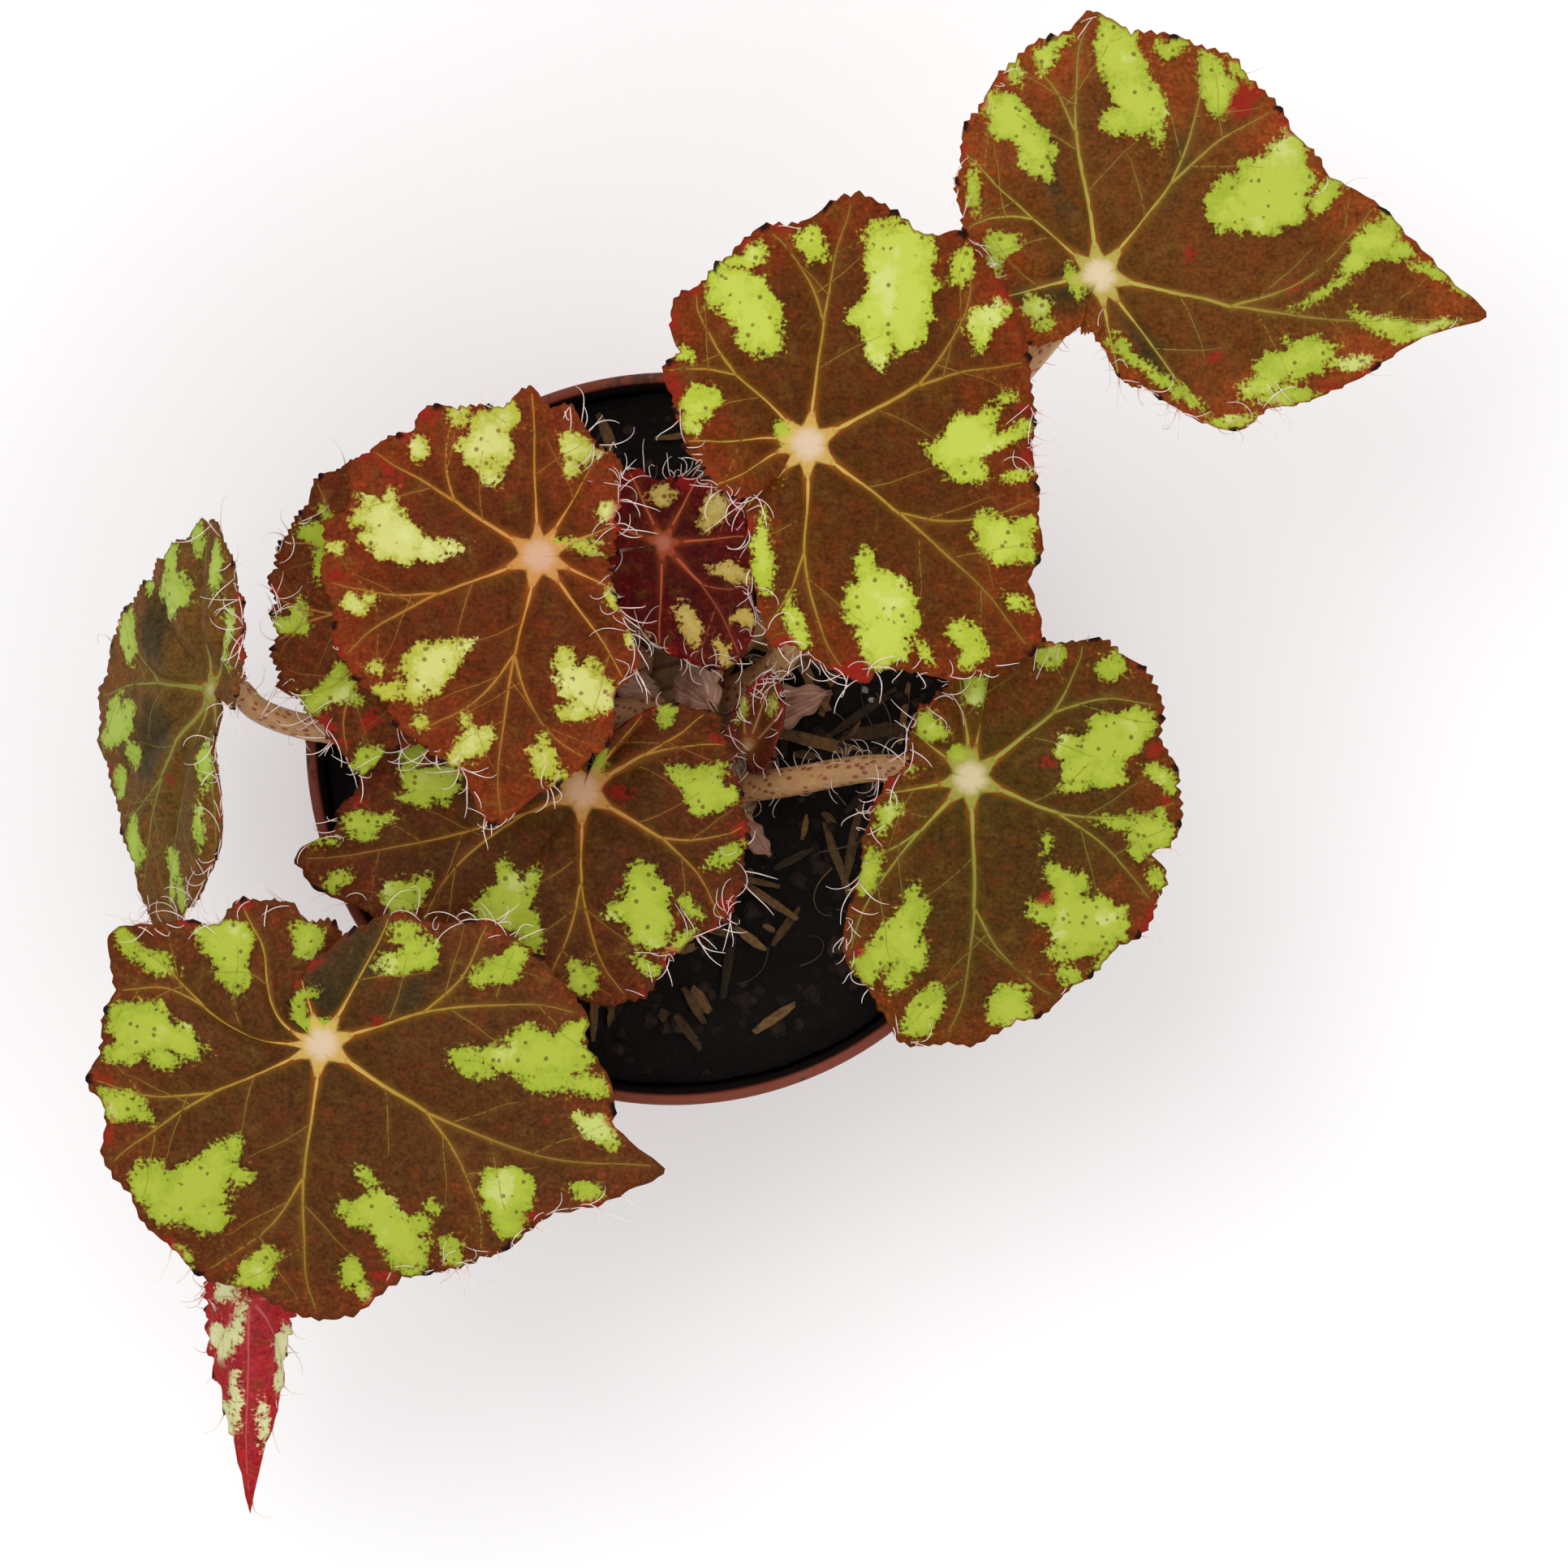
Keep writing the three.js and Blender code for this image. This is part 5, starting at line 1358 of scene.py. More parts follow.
def hair_strands(leaf):
    """Hairs dropped evenly along the true length of the edge, most of them in the fringe."""
    first, last = slit_sides(leaf)
    lines, values = [], []
    b = np.linspace(first, last, 400)
    reach = reach_at(leaf["outline"], b)
    passed = np.hypot(np.diff(reach), np.radians(np.diff(b)) * reach[1:]).cumsum()
    for _ in range(int(passed[-1] * leaf["hairs"])):
        bearing = float(np.interp(chance.uniform(0, passed[-1]), passed, b[1:]))
        in_fringe = any(low <= bearing <= high for low, high in FRINGE[leaf["name"]])
        if not in_fringe and chance.random() > STRAY_HAIRS:
            continue
        u = float(np.clip((bearing - first) / (last - first), 0.004, 0.996))
        here, inner, beside = blade_points(leaf, [u, u, u + 0.003], [0.985, 0.93, 0.985])
        out, side = unit(np.array([here - inner, beside - here]))
        up = np.cross(out, side)
        heading = out * chance.uniform(-0.7, 1) + side * chance.normal(0, 0.45)
        heading = heading + up * chance.uniform(0.1, 0.7)
        heading = heading / np.linalg.norm(heading)
        points = curl(here, heading, chance.uniform(3, 8.5) * leaf["hair_size"])
        lines.append(hair_strand(points, HAIR_THICKNESS))
        values.append(np.linspace(0, 1, len(points)))
    return strands(leaf["name"] + "_hairs", lines, 3, along=values)


def hair_paint():
    """Pink at the root and nearly white from the middle on."""
    paint = Paint("hair", roughness=0.45, Specular_IOR_Level=0.4)
    along = paint.attribute("along")
    tone = paint.mix(along.step(0, 0.5), srgb(210, 160, 150), srgb(238, 222, 214))
    paint.colour(tone)
    return paint.material


hair_material = hair_paint()
for leaf in LEAVES:
    piece = hair_strands(leaf)
    piece.data.materials.append(hair_material)
    settle(piece, leaf["name"] + "_hairs", "leaf_blade")
print("hairs grown on", len(LEAVES), "leaves")

# %% [markdown]
# ## Stalks
# A stalk is a fleshy rod, a little thicker at its foot, tan and speckled with red-brown dashes
# that run along it. By hand it is a curve with a round bevel and a radius on each point, turned
# into a mesh. The points of that mesh come ring by ring, so it is easy to store how far along the
# stalk each ring lies, which the dashes need, and where on the ring each point lies.

# %% A smooth path


def curve_through(points, count):
    """Evenly spaced points of a smooth curve through a list of points."""
    p = np.array(points, dtype=float)
    p = np.vstack([2 * p[0] - p[1], p, 2 * p[-1] - p[-2]])
    fine = []
    for a, b, c, d in zip(p[:-3], p[1:-2], p[2:-1], p[3:]):
        gaps = [max(np.linalg.norm(q1 - q0), 1e-6) ** 0.5 for q0, q1 in ((a, b), (b, c), (c, d))]
        t0, t1, t2, t3 = 0, gaps[0], gaps[0] + gaps[1], sum(gaps)
        for t in np.linspace(t1, t2, 24, endpoint=False):
            ab = (a * (t1 - t) + b * (t - t0)) / (t1 - t0)
            bc = (b * (t2 - t) + c * (t - t1)) / (t2 - t1)
            cd = (c * (t3 - t) + d * (t - t2)) / (t3 - t2)
            abc = (ab * (t2 - t) + bc * (t - t0)) / (t2 - t0)
            bcd = (bc * (t3 - t) + cd * (t - t1)) / (t3 - t1)
            fine.append((abc * (t2 - t) + bcd * (t - t1)) / (t2 - t1))
    fine = np.array([*fine, p[-2]])
    length = np.concatenate([[0], np.cumsum(np.linalg.norm(np.diff(fine, axis=0), axis=1))])
    even = np.linspace(0, length[-1], count)
    return np.stack([np.interp(even, length, fine[:, k]) for k in range(3)], axis=1), even


print("smooth paths ready")

# %% A round rod
STALK_SIDES = 16


def curve_piece(name, path, radii):
    """A round rod along a path, as a curve with a bevel turned into a mesh."""
    deselect()
    data = bpy.data.curves.new(name, "CURVE")
    data.dimensions = "3D"
    data.bevel_depth = MM
    data.bevel_resolution = (STALK_SIDES - 4) // 2
    data.use_fill_caps = True
    spline = data.splines.new("POLY")
    spline.points.add(len(path) - 1)
    for point, place, radius in zip(spline.points, path, radii):
        point.co = (*(Vector(place) * MM), 1)
        point.radius = radius
    piece = bpy.data.objects.new(name, data)
    bpy.context.scene.collection.objects.link(piece)
    choose(piece)
    bpy.ops.object.convert(target="MESH")
    return bpy.context.object


def store(piece, name, values):
    """Keeps one number per point, for the paint to read."""
    layer = piece.data.attributes.new(name, "FLOAT", "POINT")
    layer.data.foreach_set("value", np.asarray(values, dtype=np.float32))


def mark_rings(piece, even):
    """Stores the distance along the rod and the place round it on every point."""
    count = len(piece.data.vertices)
    ring = np.minimum(np.arange(count) // STALK_SIDES, len(even) - 1)
    turn = np.arange(count) % STALK_SIDES / STALK_SIDES * 2 * np.pi
    store(piece, "along", even[ring])
    store(piece, "round_x", np.cos(turn))
    store(piece, "round_y", np.sin(turn))


print("a rod has", STALK_SIDES, "sides")

# %% Stalks
STALK_FOOT_RADIUS = 2.6
STALK_TOP_RADIUS = 2.0


def stalk_path(leaf):
    """The points of a stalk, and those that bring it square to the blade at its end."""
    at, turn = np.array(leaf["at"]), leaf_turn(leaf)
    if leaf["keel_up"]:
        a = math.radians(leaf["fold"][0])
        keel = [(d * math.cos(a), d * math.sin(a), z) for d, z in ((-6, 0.5), (-3, -2), (0, -2.6))]
        return [*leaf["stalk"], *(turn @ np.array(k) + at for k in keel)]
    return [*leaf["stalk"], turn @ (0, 0, -leaf["neck"]) + at, turn @ (0, 0, -0.35) + at]


def stalk_paint():
    """Tan, redder at the foot, with long and short red-brown dashes."""
    paint = Paint("stalk", roughness=0.4, Specular_IOR_Level=0.4)
    along = paint.attribute("along")
    ring = {"X": along * 0.55, "Y": paint.attribute("round_x") * 2.1,
            "Z": paint.attribute("round_y") * 2.1}
    where = paint.node("CombineXYZ", None, ring)
    patchy = paint.noise(where, 1.2, 4)
    dashes = paint.node("TexVoronoi", None, {"Vector": where, "Scale": 1.0, "Randomness": 0.9})
    small = paint.node("TexVoronoi", None, {"Vector": where, "Scale": 2.6, "Randomness": 1.0})
    tone = paint.mix(patchy, srgb(156, 110, 68), srgb(194, 156, 104))
    tone = paint.mix((14 - along).step(0, 12) * 0.5, tone, srgb(156, 88, 66))
    tone = paint.mix((0.3 + patchy * 0.14 - dashes).step(0, 0.12) * 0.8, tone, srgb(134, 48, 30))
    tone = paint.mix((0.2 - small).step(0, 0.1) * 0.45, tone, srgb(138, 64, 40))
    paint.colour(tone)
    paint.bump((0.3 - dashes).step(0, 0.2) + patchy * 0.5, 0.00025, 0.6)
    return paint.material


stalk_material = stalk_paint()


def stalk_piece(leaf):
    """Builds a stalk, and returns the points and radii that its hairs need."""
    path, even = curve_through(stalk_path(leaf), 60)
    share = np.linspace(0, 1, len(path))
    radii = STALK_FOOT_RADIUS + (STALK_TOP_RADIUS - STALK_FOOT_RADIUS) * share
    radii = leaf["stalk_size"] * radii
    radii = radii * (1 + 0.35 * np.exp(-share / 0.02) + 0.18 * np.exp((share - 1) / 0.015))
    piece = curve_piece(leaf["name"] + "_stalk", path, radii)
    mark_rings(piece, even)
    piece.data.shade_smooth()
    piece.data.materials.append(stalk_material)
    settle(piece, leaf["name"] + "_stem", "leaf_stalk", leaf["name"] + "_stalk")
    return path, radii


stalk_lines = [stalk_piece(leaf) for leaf in LEAVES]
print("stalks:", len(stalk_lines))

# %% [markdown]
# Down the stalks stand the same hairs as along the leaves, only shorter and sparser.

# %% Hairs on the stalks
STALK_HAIR_THICKNESS = 0.08

lines, values = [], []
for path, radii in stalk_lines:
    for _ in range(int(len(path) * 1.3)):
        k = int(chance.integers(2, len(path) - 2))
        heading = unit(path[k + 1 : k + 2] - path[k - 1 : k])[0]
        out = unit(np.cross(heading, chance.normal(size=(1, 3))))[0]
        start = path[k] + out * radii[k] * 0.95
        points = curl(start, unit((out + chance.normal(0, 0.3, 3))[None])[0], chance.uniform(2, 5))
        lines.append(hair_strand(points, STALK_HAIR_THICKNESS))
        values.append(np.linspace(0, 1, len(points)))
piece = strands("stalk_hairs", lines, 3, along=values)
piece.data.materials.append(hair_material)
settle(piece, "stalk_hairs", "leaf_stalk")
print("hairs on the stalks:", len(lines))

# %% [markdown]
# ## The creeping stem
# All the leaves come from one thick stem that lies on the peat. It is knobbly, ringed with the
# scars of older leaves. A curve gives the rod, its radius swells and shrinks for the knots, and a
# Displace modifier roughens it.

# %% Creeping stem
STEM_PATH = [(11, -14, 84.5), (7.5, -5, 87), (3, 6, 87.5), (0, 17, 87.5), (-2.5, 28, 89)]
STEM_RADIUS = 6.2


def roughen(piece, name, size, strength, middle=0.5, direction="NORMAL", group=""):
    """Displaces a piece by clouds of a size in millimetres."""
    texture = bpy.data.textures.new(name, "CLOUDS")
    texture.noise_scale = size * MM
    displace = piece.modifiers.new(name, "DISPLACE")
    displace.texture = texture
    displace.texture_coords = "LOCAL"
    displace.direction = direction
    displace.vertex_group = group
    displace.strength = strength * MM
    displace.mid_level = middle


path, even = curve_through(STEM_PATH, 90)
share = np.linspace(0, 1, len(path))
rounded = np.sqrt(np.maximum(0.12, 1 - (2 * share - 1) ** 6))
knots = 0.92 + 0.07 * np.sin(share * 34) + 0.05 * np.abs(np.sin(share * 60))
stem = curve_piece("creeping_stem", path, STEM_RADIUS * rounded * knots)
mark_rings(stem, even)
subdivision = stem.modifiers.new("finer", "SUBSURF")
subdivision.levels = 1
roughen(stem, "bark", 2.2, 1.1, middle=0.6)
apply_modifiers(stem)
stem.data.shade_smooth()

paint = Paint("stem", roughness=0.6)
where = paint.place()
along = paint.attribute("along")
patchy = paint.noise(where, 240, 5, 0.6)
tone = paint.mix(patchy.step(0.3, 0.7), srgb(92, 58, 38), srgb(140, 116, 70))
rings = (along * 1.75).math("SINE").step(0.55, 0.95)
tone = paint.mix(rings * 0.6, tone, srgb(60, 34, 24))
paint.colour(tone)
paint.bump(patchy, 0.0006)
stem.data.materials.append(paint.material)
settle(stem, "creeping_stem", "rhizome", "rhizome")
print("creeping stem:", len(stem.data.vertices), "points")

# %% [markdown]
# ## Papery scales
# Every young leaf starts inside a pair of thin scales that dry to brown paper and stay on the
# stem. Each is a grid whose points are moved to a pointed spoon, with a thickness of its own.

# %% Scales
SCALE_THICKNESS = 0.35
SCALES = [  # foot, tip, width, and the solid it stands for
    ((1.5, 12, 93), (6.5, 5.5, 103), 9, "stipule_1"),
    ((10, 2.8, 89), (25.5, 7.5, 98), 7, "stipule_2"),
    ((-3.5, 24.5, 93.5), (-7, 36, 101), 6, "stipule_3"),
    ((7, -6, 91), (0, -14, 95), 5, None),
    ((3, 16, 92.5), (12, 20, 98), 5.5, None),
    ((-2, 8, 91), (-12, 10, 96), 5, None),
    ((9, -12, 89), (16, -19, 91), 4.5, None),
    ((1, 22, 93), (8, 31, 98), 5, None),
]


def scale_piece(foot, tip, width):
    """One scale: s runs across it from -1 to 1, and t from its foot to its tip."""
    piece = added(bpy.ops.mesh.primitive_grid_add, x_subdivisions=14, y_subdivisions=26, size=2)
    start, along = Vector(foot), Vector(tip) - Vector(foot)
    across = along.cross(Vector((0, 0, 1))).normalized()
    out = across.cross(along).normalized()
    for vertex in piece.data.vertices:
        s, t = vertex.co.x, (vertex.co.y + 1) / 2
        half = width / 2 * max(0.08, math.sin(math.pi * (0.16 + 0.84 * t))) ** 0.8
        torn = 0.06 * width * math.sin(t * 23 + s * 2) * abs(s) ** 3
        hollow = width * (0.3 * math.sin(math.pi * t * 0.8) - 0.35 * s * s)
        crumple = 0.04 * width * math.sin(9 * s + 14 * t)
        place = start + along * t + across * (s * half + torn) + out * (hollow + crumple)
        vertex.co = place * MM
    thicken(piece, SCALE_THICKNESS)
    apply_modifiers(piece)
    piece.data.shade_smooth()
    return piece


paint = Paint("papery", roughness=0.55, Specular_IOR_Level=0.3)
where = paint.place("UV")
stretched = paint.node("Mapping", None, {"Vector": where, "Scale": (26.0, 2.0, 1.0)})
grain = paint.noise(stretched, 1.0, 4, 0.6)
patchy = paint.noise(paint.place(), 220, 4)
tone = paint.mix(grain.step(0.35, 0.65), srgb(196, 160, 134), srgb(150, 104, 86))
tone = paint.mix(patchy.step(0.45, 0.7) * 0.7, tone, srgb(120, 66, 52))
paint.colour(tone)
paint.bump(grain, 0.0003, 0.7)
for number, (foot, tip, width, node) in enumerate(SCALES):
    piece = scale_piece(foot, tip, width)
    piece.data.materials.append(paint.material)
    settle(piece, f"papery_scale_{number + 1}", "stipule", *([node] if node else []))
print("scales:", len(SCALES))

# %% [markdown]
# ## The pot
# A thin plastic nursery pot is a solid of revolution. By hand it grows from one disc: the disc's
# edge is extruded and resized along the pot's section, out over the foot ring, up the wall,
# round the lip and back down inside. Booleans then open the drain holes and the notches in the
# foot ring.

# %% Pot
POT_SIDES = 160
POT_SECTION = [  # radius and height, from under the floor round to the axis above it
    (16, 0), (16.4, 0.3), (17.2, 2), (33.8, 2), (34.6, 0.3), (35, 0), (41.2, 0), (41.8, 0.3),
    (42, 0.8), (44.2, 14), (44.6, 14.3), (44.8, 15.6), (44.5, 16), (56.4, 76.5), (56.8, 77.4),
    (57.1, 80), (57.6, 80.4), (58.4, 80.5), (58.7, 81.0), (59.7, 93.6), (59.95, 94.2),
    (59.95, 94.6), (59.75, 94.9), (59.4, 95), (58.7, 95), (58.4, 94.85), (58.2, 94.4),
    (57.0, 81.2), (56.6, 80.4), (55.8, 79.4), (40.6, 4.6), (40, 4),
]


def grown_from_disc(name, section, sides):
    """A solid of revolution, extruded ring by ring from a disc."""
    radius, height = section[0]
    disc = {"vertices": sides, "radius": radius * MM, "fill_type": "NGON"}
    piece = added(bpy.ops.mesh.primitive_circle_add, **disc)
    piece.name = name
    bpy.ops.object.mode_set(mode="EDIT")
    bpy.ops.mesh.select_mode(type="EDGE")
    bpy.ops.mesh.select_all(action="SELECT")
    bpy.ops.transform.translate(value=(0, 0, height * MM))
    for next_radius, next_height in section[1:]:
        bpy.ops.mesh.extrude_edges_move(
            TRANSFORM_OT_translate={"value": (0, 0, (next_height - height) * MM)}
        )
        grow = next_radius / radius
        bpy.ops.transform.resize(value=(grow, grow, 1), center_override=(0, 0, 0))
        radius, height = next_radius, next_height
    bpy.ops.mesh.edge_face_add()
    bpy.ops.mesh.select_all(action="SELECT")
    bpy.ops.mesh.normals_make_consistent(inside=False)
    bpy.ops.object.mode_set(mode="OBJECT")
    return piece


pot = grown_from_disc("pot_shell", POT_SECTION, POT_SIDES)
print("rings of the pot:", len(POT_SECTION))

# %% Drain holes and notches
DRAIN_HOLES = 8
DRAIN_RADIUS = 3.2
DRAIN_RING = 25.5  # from the pot's axis
NOTCHES = 4
NOTCH_SIZE = (11, 7, 2.8)
NOTCH_RING = 38.5


def cut(piece, tool, operation="DIFFERENCE"):
    """Cuts one solid with another and removes the tool."""
    boolean = piece.modifiers.new("cut", "BOOLEAN")
    boolean.operation = operation
    boolean.solver = "EXACT"
    boolean.object = tool
    apply_modifiers(piece)
    bpy.data.objects.remove(tool)


for i in range(DRAIN_HOLES):
    angle = math.radians(360 / DRAIN_HOLES * (i + 0.5))
    x, y = DRAIN_RING * MM * math.cos(angle), DRAIN_RING * MM * math.sin(angle)
    cut(pot, added(
        bpy.ops.mesh.primitive_cylinder_add, vertices=32, radius=DRAIN_RADIUS * MM,
        depth=12 * MM, location=(x, y, 2 * MM),
    ))
for i in range(NOTCHES):
    angle = math.radians(360 / NOTCHES * i)
    cut(pot, added(
        bpy.ops.mesh.primitive_cube_add, size=1, scale=[side * MM for side in NOTCH_SIZE],
        rotation=(0, 0, angle),
        location=Matrix.Rotation(angle, 3, "Z") @ Vector((NOTCH_RING * MM, 0, 0)),
    ))
choose(pot)
bpy.ops.object.shade_smooth_by_angle(angle=math.radians(28))
places = np.array([point.co for point in pot.data.vertices]) / MM
middle_of_wall = np.interp(places[:, 2], [4, 16, 76.5, 81, 95], [42, 43.7, 55.8, 57.8, 59.1])
inner = (np.hypot(places[:, 0], places[:, 1]) < middle_of_wall) & (places[:, 2] > 3.9)
store(pot, "inner", inner)
print("pot:", len(pot.data.polygons), "faces")

# %% Paint the pot
paint = Paint("terracotta_plastic", roughness=0.55, Specular_IOR_Level=0.2)
where = paint.place()
height = paint.node("SeparateXYZ", None, {"Vector": where}, output=2)
cloud = paint.noise(where, 60, 4)
fine = paint.noise(where, 900, 3)
tone = paint.mix(cloud, srgb(100, 44, 27), srgb(118, 54, 34))
dust = (cloud + fine * 0.4 - 0.3).step(0.35, 0.6) * (0.03 - height).step(0, 0.03)
tone = paint.mix(dust * 0.4, tone, srgb(176, 140, 116))
# Near black on the inside of the wall below the lip: painted shade deep in the pot, together with
# peat that clings to the wall.
inside = paint.attribute("inner") * (0.0945 + (cloud - 0.5) * 0.003 - height).step(0, 0.0012)
tone = paint.mix(inside, tone, srgb(22, 17, 15))
splash = (fine * 0.5 + cloud * 0.5 - 0.56).step(0, 0.04) * (height - 0.09).step(0, 0.004)
tone = paint.mix(splash * 0.7, tone, srgb(48, 34, 28))
paint.colour(tone)
paint.bump(fine + cloud * 0.6, 0.0001, 0.5)
pot.data.materials.append(paint.material)
settle(pot, "pot_shell", "pot_plastic", "pot")
print("pot painted")

# %% [markdown]
# ## The peat
# The filling is a disc of peat with a lumpy top. A tall cube stands for the block of peat: its
# top face is subdivided finely and displaced twice, by broad lumps and by small crumbs, and an
# Intersect boolean with a cone trims it to the inside of the pot.

# %% Peat
PEAT_TOP = 84
PEAT_FLOOR = 4.4
PEAT_WIDTH = 118
TRIM_RADII = (40, 59.4)  # the inside of the pot as a cone, at its floor and at its brim
TRIM_FLOOR = 4.3
TRIM_DEPTH = 94


def fine_topped_block():
    """A block as wide as the pot, with a fine net and a vertex group on its top face."""
    middle = (0, 0, (PEAT_TOP + PEAT_FLOOR) / 2 * MM)
    block = added(bpy.ops.mesh.primitive_cube_add, size=1, location=middle)
    block.scale = (PEAT_WIDTH * MM, PEAT_WIDTH * MM, (PEAT_TOP - PEAT_FLOOR) * MM)
    bpy.ops.object.transform_apply(location=True, scale=True)
    bpy.ops.object.mode_set(mode="EDIT")
    bpy.ops.mesh.select_mode(type="FACE")
    bpy.ops.mesh.select_all(action="DESELECT")
    bpy.ops.object.mode_set(mode="OBJECT")
    top = max(block.data.polygons, key=lambda face: face.center.z)
    top.select = True
    group = block.vertex_groups.new(name="top")
    group.add(list(top.vertices), 1, "REPLACE")
    bpy.ops.object.mode_set(mode="EDIT")
    bpy.ops.mesh.subdivide(number_cuts=99)
    bpy.ops.object.mode_set(mode="OBJECT")
    return block


def peat_block():
    """The block with a lumpy top, trimmed by a cone to the inside of the pot."""
    block = fine_topped_block()
    for name, size, strength in (("lumps", 9, 3.4), ("crumbs", 2.2, 1.7), ("grit", 0.9, 0.7)):
        roughen(block, name, size, strength, direction="Z", group="top")
    apply_modifiers(block)
    cone = added(
        bpy.ops.mesh.primitive_cone_add, vertices=128, radius1=TRIM_RADII[0] * MM,
        radius2=TRIM_RADII[1] * MM, depth=TRIM_DEPTH * MM,
        location=(0, 0, (TRIM_DEPTH / 2 + TRIM_FLOOR) * MM),
    )
    cut(block, cone, "INTERSECT")
    return block


peat = peat_block()
peat.data.shade_smooth()
paint = Paint("peat", roughness=0.9, Specular_IOR_Level=0.2)
where = paint.place()
broad = paint.noise(where, 120, 5, 0.6)
crumb = paint.noise(where, 700, 5, 0.7)
tone = paint.mix(broad, srgb(9, 9, 9), srgb(26, 20, 16))
tone = paint.mix(crumb.step(0.55, 0.72) * 0.5, tone, srgb(54, 40, 28))
paint.colour(tone)
paint.bump(crumb, 0.0012)
peat.data.materials.append(paint.material)
settle(peat, "peat_filling", "peat", "peat")
print("peat:", len(peat.data.polygons), "faces")

# %% [markdown]
# ## Bits in the peat
# What tells peat from plain black is what lies in it: splinters of bark, straw-coloured fibres,
# dark crumbs and a few white grains. Each kind is modelled once, then copied, turned at random
# and dropped onto the peat with a ray from above.

# %% Models of the bits


def jittered(piece, amount, seed):
    """Moves every point of a small piece a little, so that it looks broken off."""
    rng = np.random.default_rng(seed)
    for vertex in piece.data.vertices:
        vertex.co += Vector(rng.normal(0, amount * MM, 3))


def splinter(length, width, seed):
    """A flat chip of bark that narrows at both ends."""
    piece = added(bpy.ops.mesh.primitive_cube_add, size=1)
    piece.scale = (length * MM, width * MM, 0.7 * MM)
    bpy.ops.object.transform_apply(scale=True)
    bpy.ops.object.mode_set(mode="EDIT")
    bpy.ops.mesh.subdivide(number_cuts=2)
    bpy.ops.object.mode_set(mode="OBJECT")
    for vertex in piece.data.vertices:
        taper = 1 - 0.55 * abs(vertex.co.x / (length * MM / 2)) ** 2
        vertex.co.y *= taper
        vertex.co.z += 0.6 * MM * math.sin(vertex.co.x / MM * 0.5 + seed)
    jittered(piece, 0.14, seed)
    return piece


def crumb_piece(radius, seed):
    """A flattened, broken ball."""
    piece = added(bpy.ops.mesh.primitive_ico_sphere_add, subdivisions=2, radius=radius * MM)
    piece.scale = (1.3, 1.0, 0.7)
    bpy.ops.object.transform_apply(scale=True)
    jittered(piece, radius * 0.14, seed)
    return piece


splinters = [splinter(11, 2.0, 1), splinter(6, 1.3, 2), splinter(15, 1.6, 3), splinter(4, 1.8, 4)]
crumbs = [crumb_piece(0.9, 5), crumb_piece(1.4, 6), crumb_piece(0.6, 7)]
print("models:", len(splinters), "splinters and", len(crumbs), "crumbs")

# %% Splinters, crumbs and grains


def scatter(name, models, count, inner, outer, sink, slot, material):
    """Drops copies of the models onto the peat and joins them into one piece."""
    copies = []
    for n in range(count):
        copy = models[n % len(models)].copy()
        copy.data = copy.data.copy()
        bpy.context.scene.collection.objects.link(copy)
        angle = chance.uniform(0, 2 * np.pi)
        r = math.sqrt(chance.uniform(inner**2, outer**2)) * MM
        x, y = r * math.cos(angle), r * math.sin(angle)
        _, point, normal, _ = peat.ray_cast((x, y, 0.2), (0, 0, -1))
        lean = normal.slerp(Vector((0, 0, 1)), 0.6).to_track_quat("Z", "Y").to_matrix()
        turn = Matrix.Rotation(chance.uniform(0, 6.3), 3, "Z")
        size = chance.uniform(0.55, 1.25)
        copy.matrix_world = Matrix.Translation(point + Vector((0, 0, -sink * MM))) @ (
            lean @ turn @ Matrix.Diagonal((size, size, size))
        ).to_4x4()
        store(copy, "tint", np.full(len(copy.data.vertices), chance.random()))
        copies.append(copy)
    deselect()
    for copy in copies:
        copy.select_set(True)
    bpy.context.view_layer.objects.active = copies[0]
    bpy.ops.object.join()
    piece = bpy.context.object
    piece.data.materials.clear()
    piece.data.materials.append(material)
    settle(piece, name, slot)


def bit_paint(name, dark, light):
    """A tone between dark and light for each copy, with dirt in its grain."""
    paint = Paint(name, roughness=0.8, Specular_IOR_Level=0.2)
    grain = paint.noise(paint.place(), 900, 4, 0.6)
    tone = paint.mix(paint.attribute("tint"), dark, light)
    tone = paint.mix(grain.step(0.4, 0.7) * 0.5, tone, srgb(30, 22, 18))
    paint.colour(tone)
    paint.bump(grain, 0.0004)
    return paint.material


scatter("bark_splinters", splinters, 170, 4, 50, -0.3, "peat",
        bit_paint("bark", srgb(44, 34, 22), srgb(128, 96, 56)))
scatter("peat_crumbs", crumbs, 520, 2, 55, 0.2, "peat",
        bit_paint("crumb", srgb(12, 10, 9), srgb(50, 36, 26)))
scatter("pale_grains", [crumbs[2]], 24, 6, 54, 0.1, "peat",
        bit_paint("grain", srgb(118, 122, 122), srgb(196, 198, 194)))
for piece in splinters + crumbs:
    bpy.data.objects.remove(piece)
print("bits dropped onto the peat")

# %% Fibres
FIBRE_COUNT = 36
FIBRE_THICKNESS = 0.16
FIBRE_REACH = 55.5  # from the pot's axis

lines, values = [], []
for _ in range(FIBRE_COUNT):
    angle, r = chance.uniform(0, 2 * np.pi), math.sqrt(chance.uniform(20, 54**2))
    start = np.array([r * math.cos(angle), r * math.sin(angle), PEAT_TOP + chance.uniform(0.6, 2)])
    heading = unit(np.array([[chance.normal(), chance.normal(), chance.normal(0, 0.12)]]))[0]
    points = curl(start, heading, chance.uniform(5, 14), 9)
    points[:, 2] = np.maximum(points[:, 2], PEAT_TOP + 0.2)
    away = np.maximum(np.hypot(*points[:, :2].T), 1)
    points[:, :2] *= np.minimum(1, FIBRE_REACH / away)[:, None]
    lines.append(hair_strand(points, FIBRE_THICKNESS))
    values.append(np.full(len(points), chance.random()))
piece = strands("peat_fibres", lines, 4, along=values)
paint = Paint("fibre", roughness=0.7)
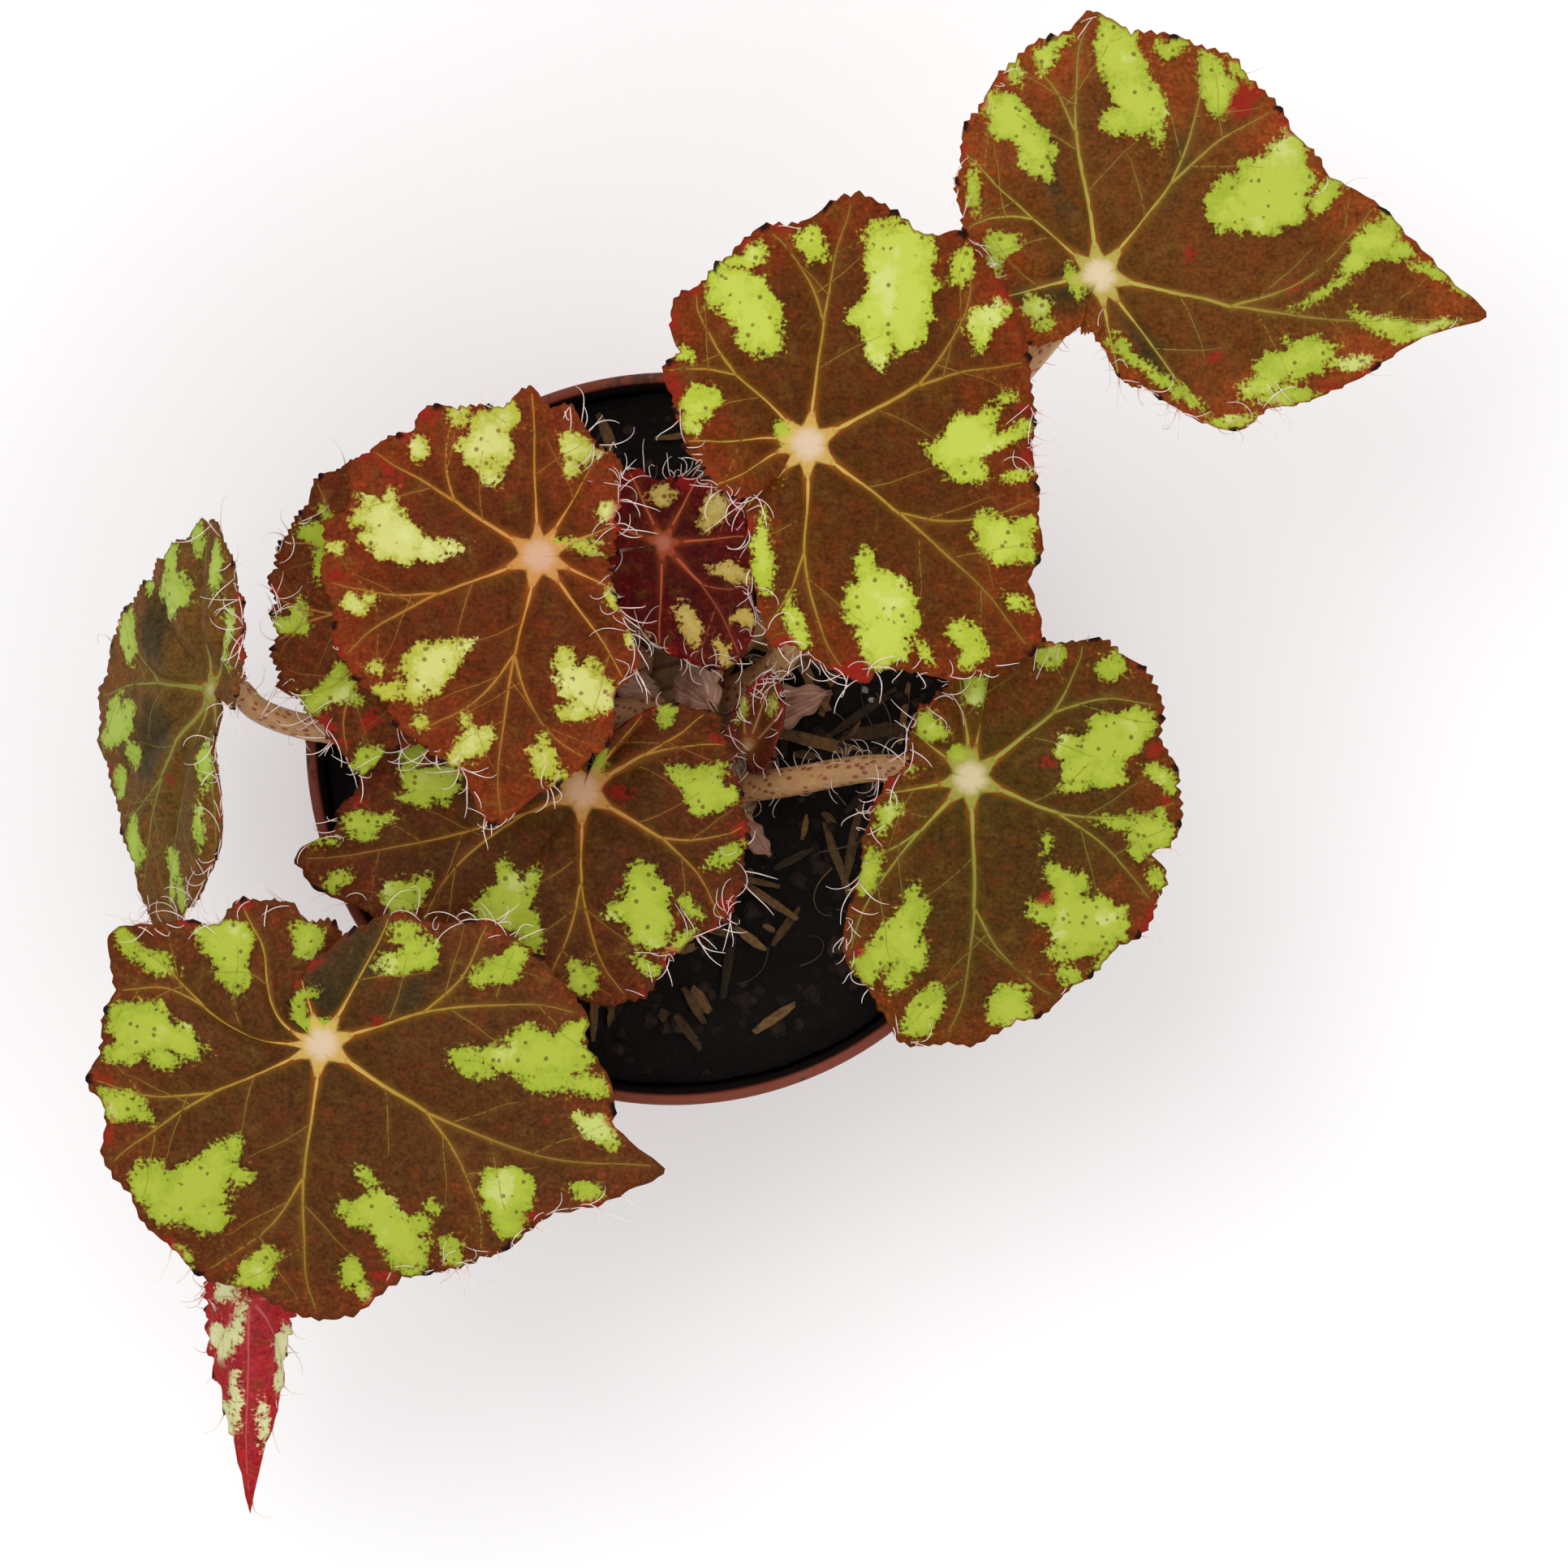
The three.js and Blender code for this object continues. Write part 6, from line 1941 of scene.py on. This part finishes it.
paint.colour(paint.mix(paint.attribute("along"), srgb(50, 36, 24), srgb(112, 86, 52)))
piece.data.materials.append(paint.material)
settle(piece, "peat_fibres", "peat")
print("fibres:", len(lines))

# %% [markdown]
# ## Floor, light and camera
# The plant stands on a plain pale floor in even light, as for a catalogue picture: a bright
# surround and two large soft lamps. The camera looks straight down from far off with a long lens,
# so that the leaves high above the pot are hardly larger than the rim.

# %% Floor, light and camera
FLOOR_TOP = -0.0004
FRAME_WIDTH = 0.2565
FRAME_CENTRE = (0.0183, -0.0074)
CAMERA_DISTANCE = 8.0
RIM_HEIGHT = 0.095

floor = added(bpy.ops.mesh.primitive_plane_add, size=40, location=(0, 0, FLOOR_TOP))
floor.name = "floor"
paint = Paint("floor", roughness=0.9, Specular_IOR_Level=0.1)
paint.shader.inputs["Base Color"].default_value = srgb(247, 247, 247)
floor.data.materials.append(paint.material)

world = bpy.data.worlds.new("surround")
bpy.context.scene.world = world
world.use_nodes = True
surround = world.node_tree.nodes["Background"]
surround.inputs["Color"].default_value = (1, 1, 1, 1)
surround.inputs["Strength"].default_value = 0.85


def soft_lamp(name, place, size, power):
    """A large square lamp that faces the plant and stays out of the picture."""
    lamp = added(bpy.ops.object.light_add, type="AREA", location=place)
    lamp.name = name
    lamp.data.size = size
    lamp.data.energy = power
    direction = Vector((0, 0, 0.1)) - Vector(place)
    lamp.rotation_euler = direction.to_track_quat("-Z", "Y").to_euler()
    lamp.visible_camera = False


soft_lamp("key", (-0.35, 0.35, 1.5), 0.8, 7.6)
soft_lamp("fill", (0.6, -0.4, 1.3), 1.0, 4)

place = (*FRAME_CENTRE, RIM_HEIGHT + CAMERA_DISTANCE)
camera = added(bpy.ops.object.camera_add, location=place)
camera.rotation_euler = (0, 0, 0)
camera.data.lens = camera.data.sensor_width * CAMERA_DISTANCE / FRAME_WIDTH
camera.data.clip_start = 0.1
camera.data.clip_end = 60
bpy.context.scene.camera = camera
bpy.context.scene.view_settings.view_transform = "Standard"
print("lens:", round(camera.data.lens), "mm")
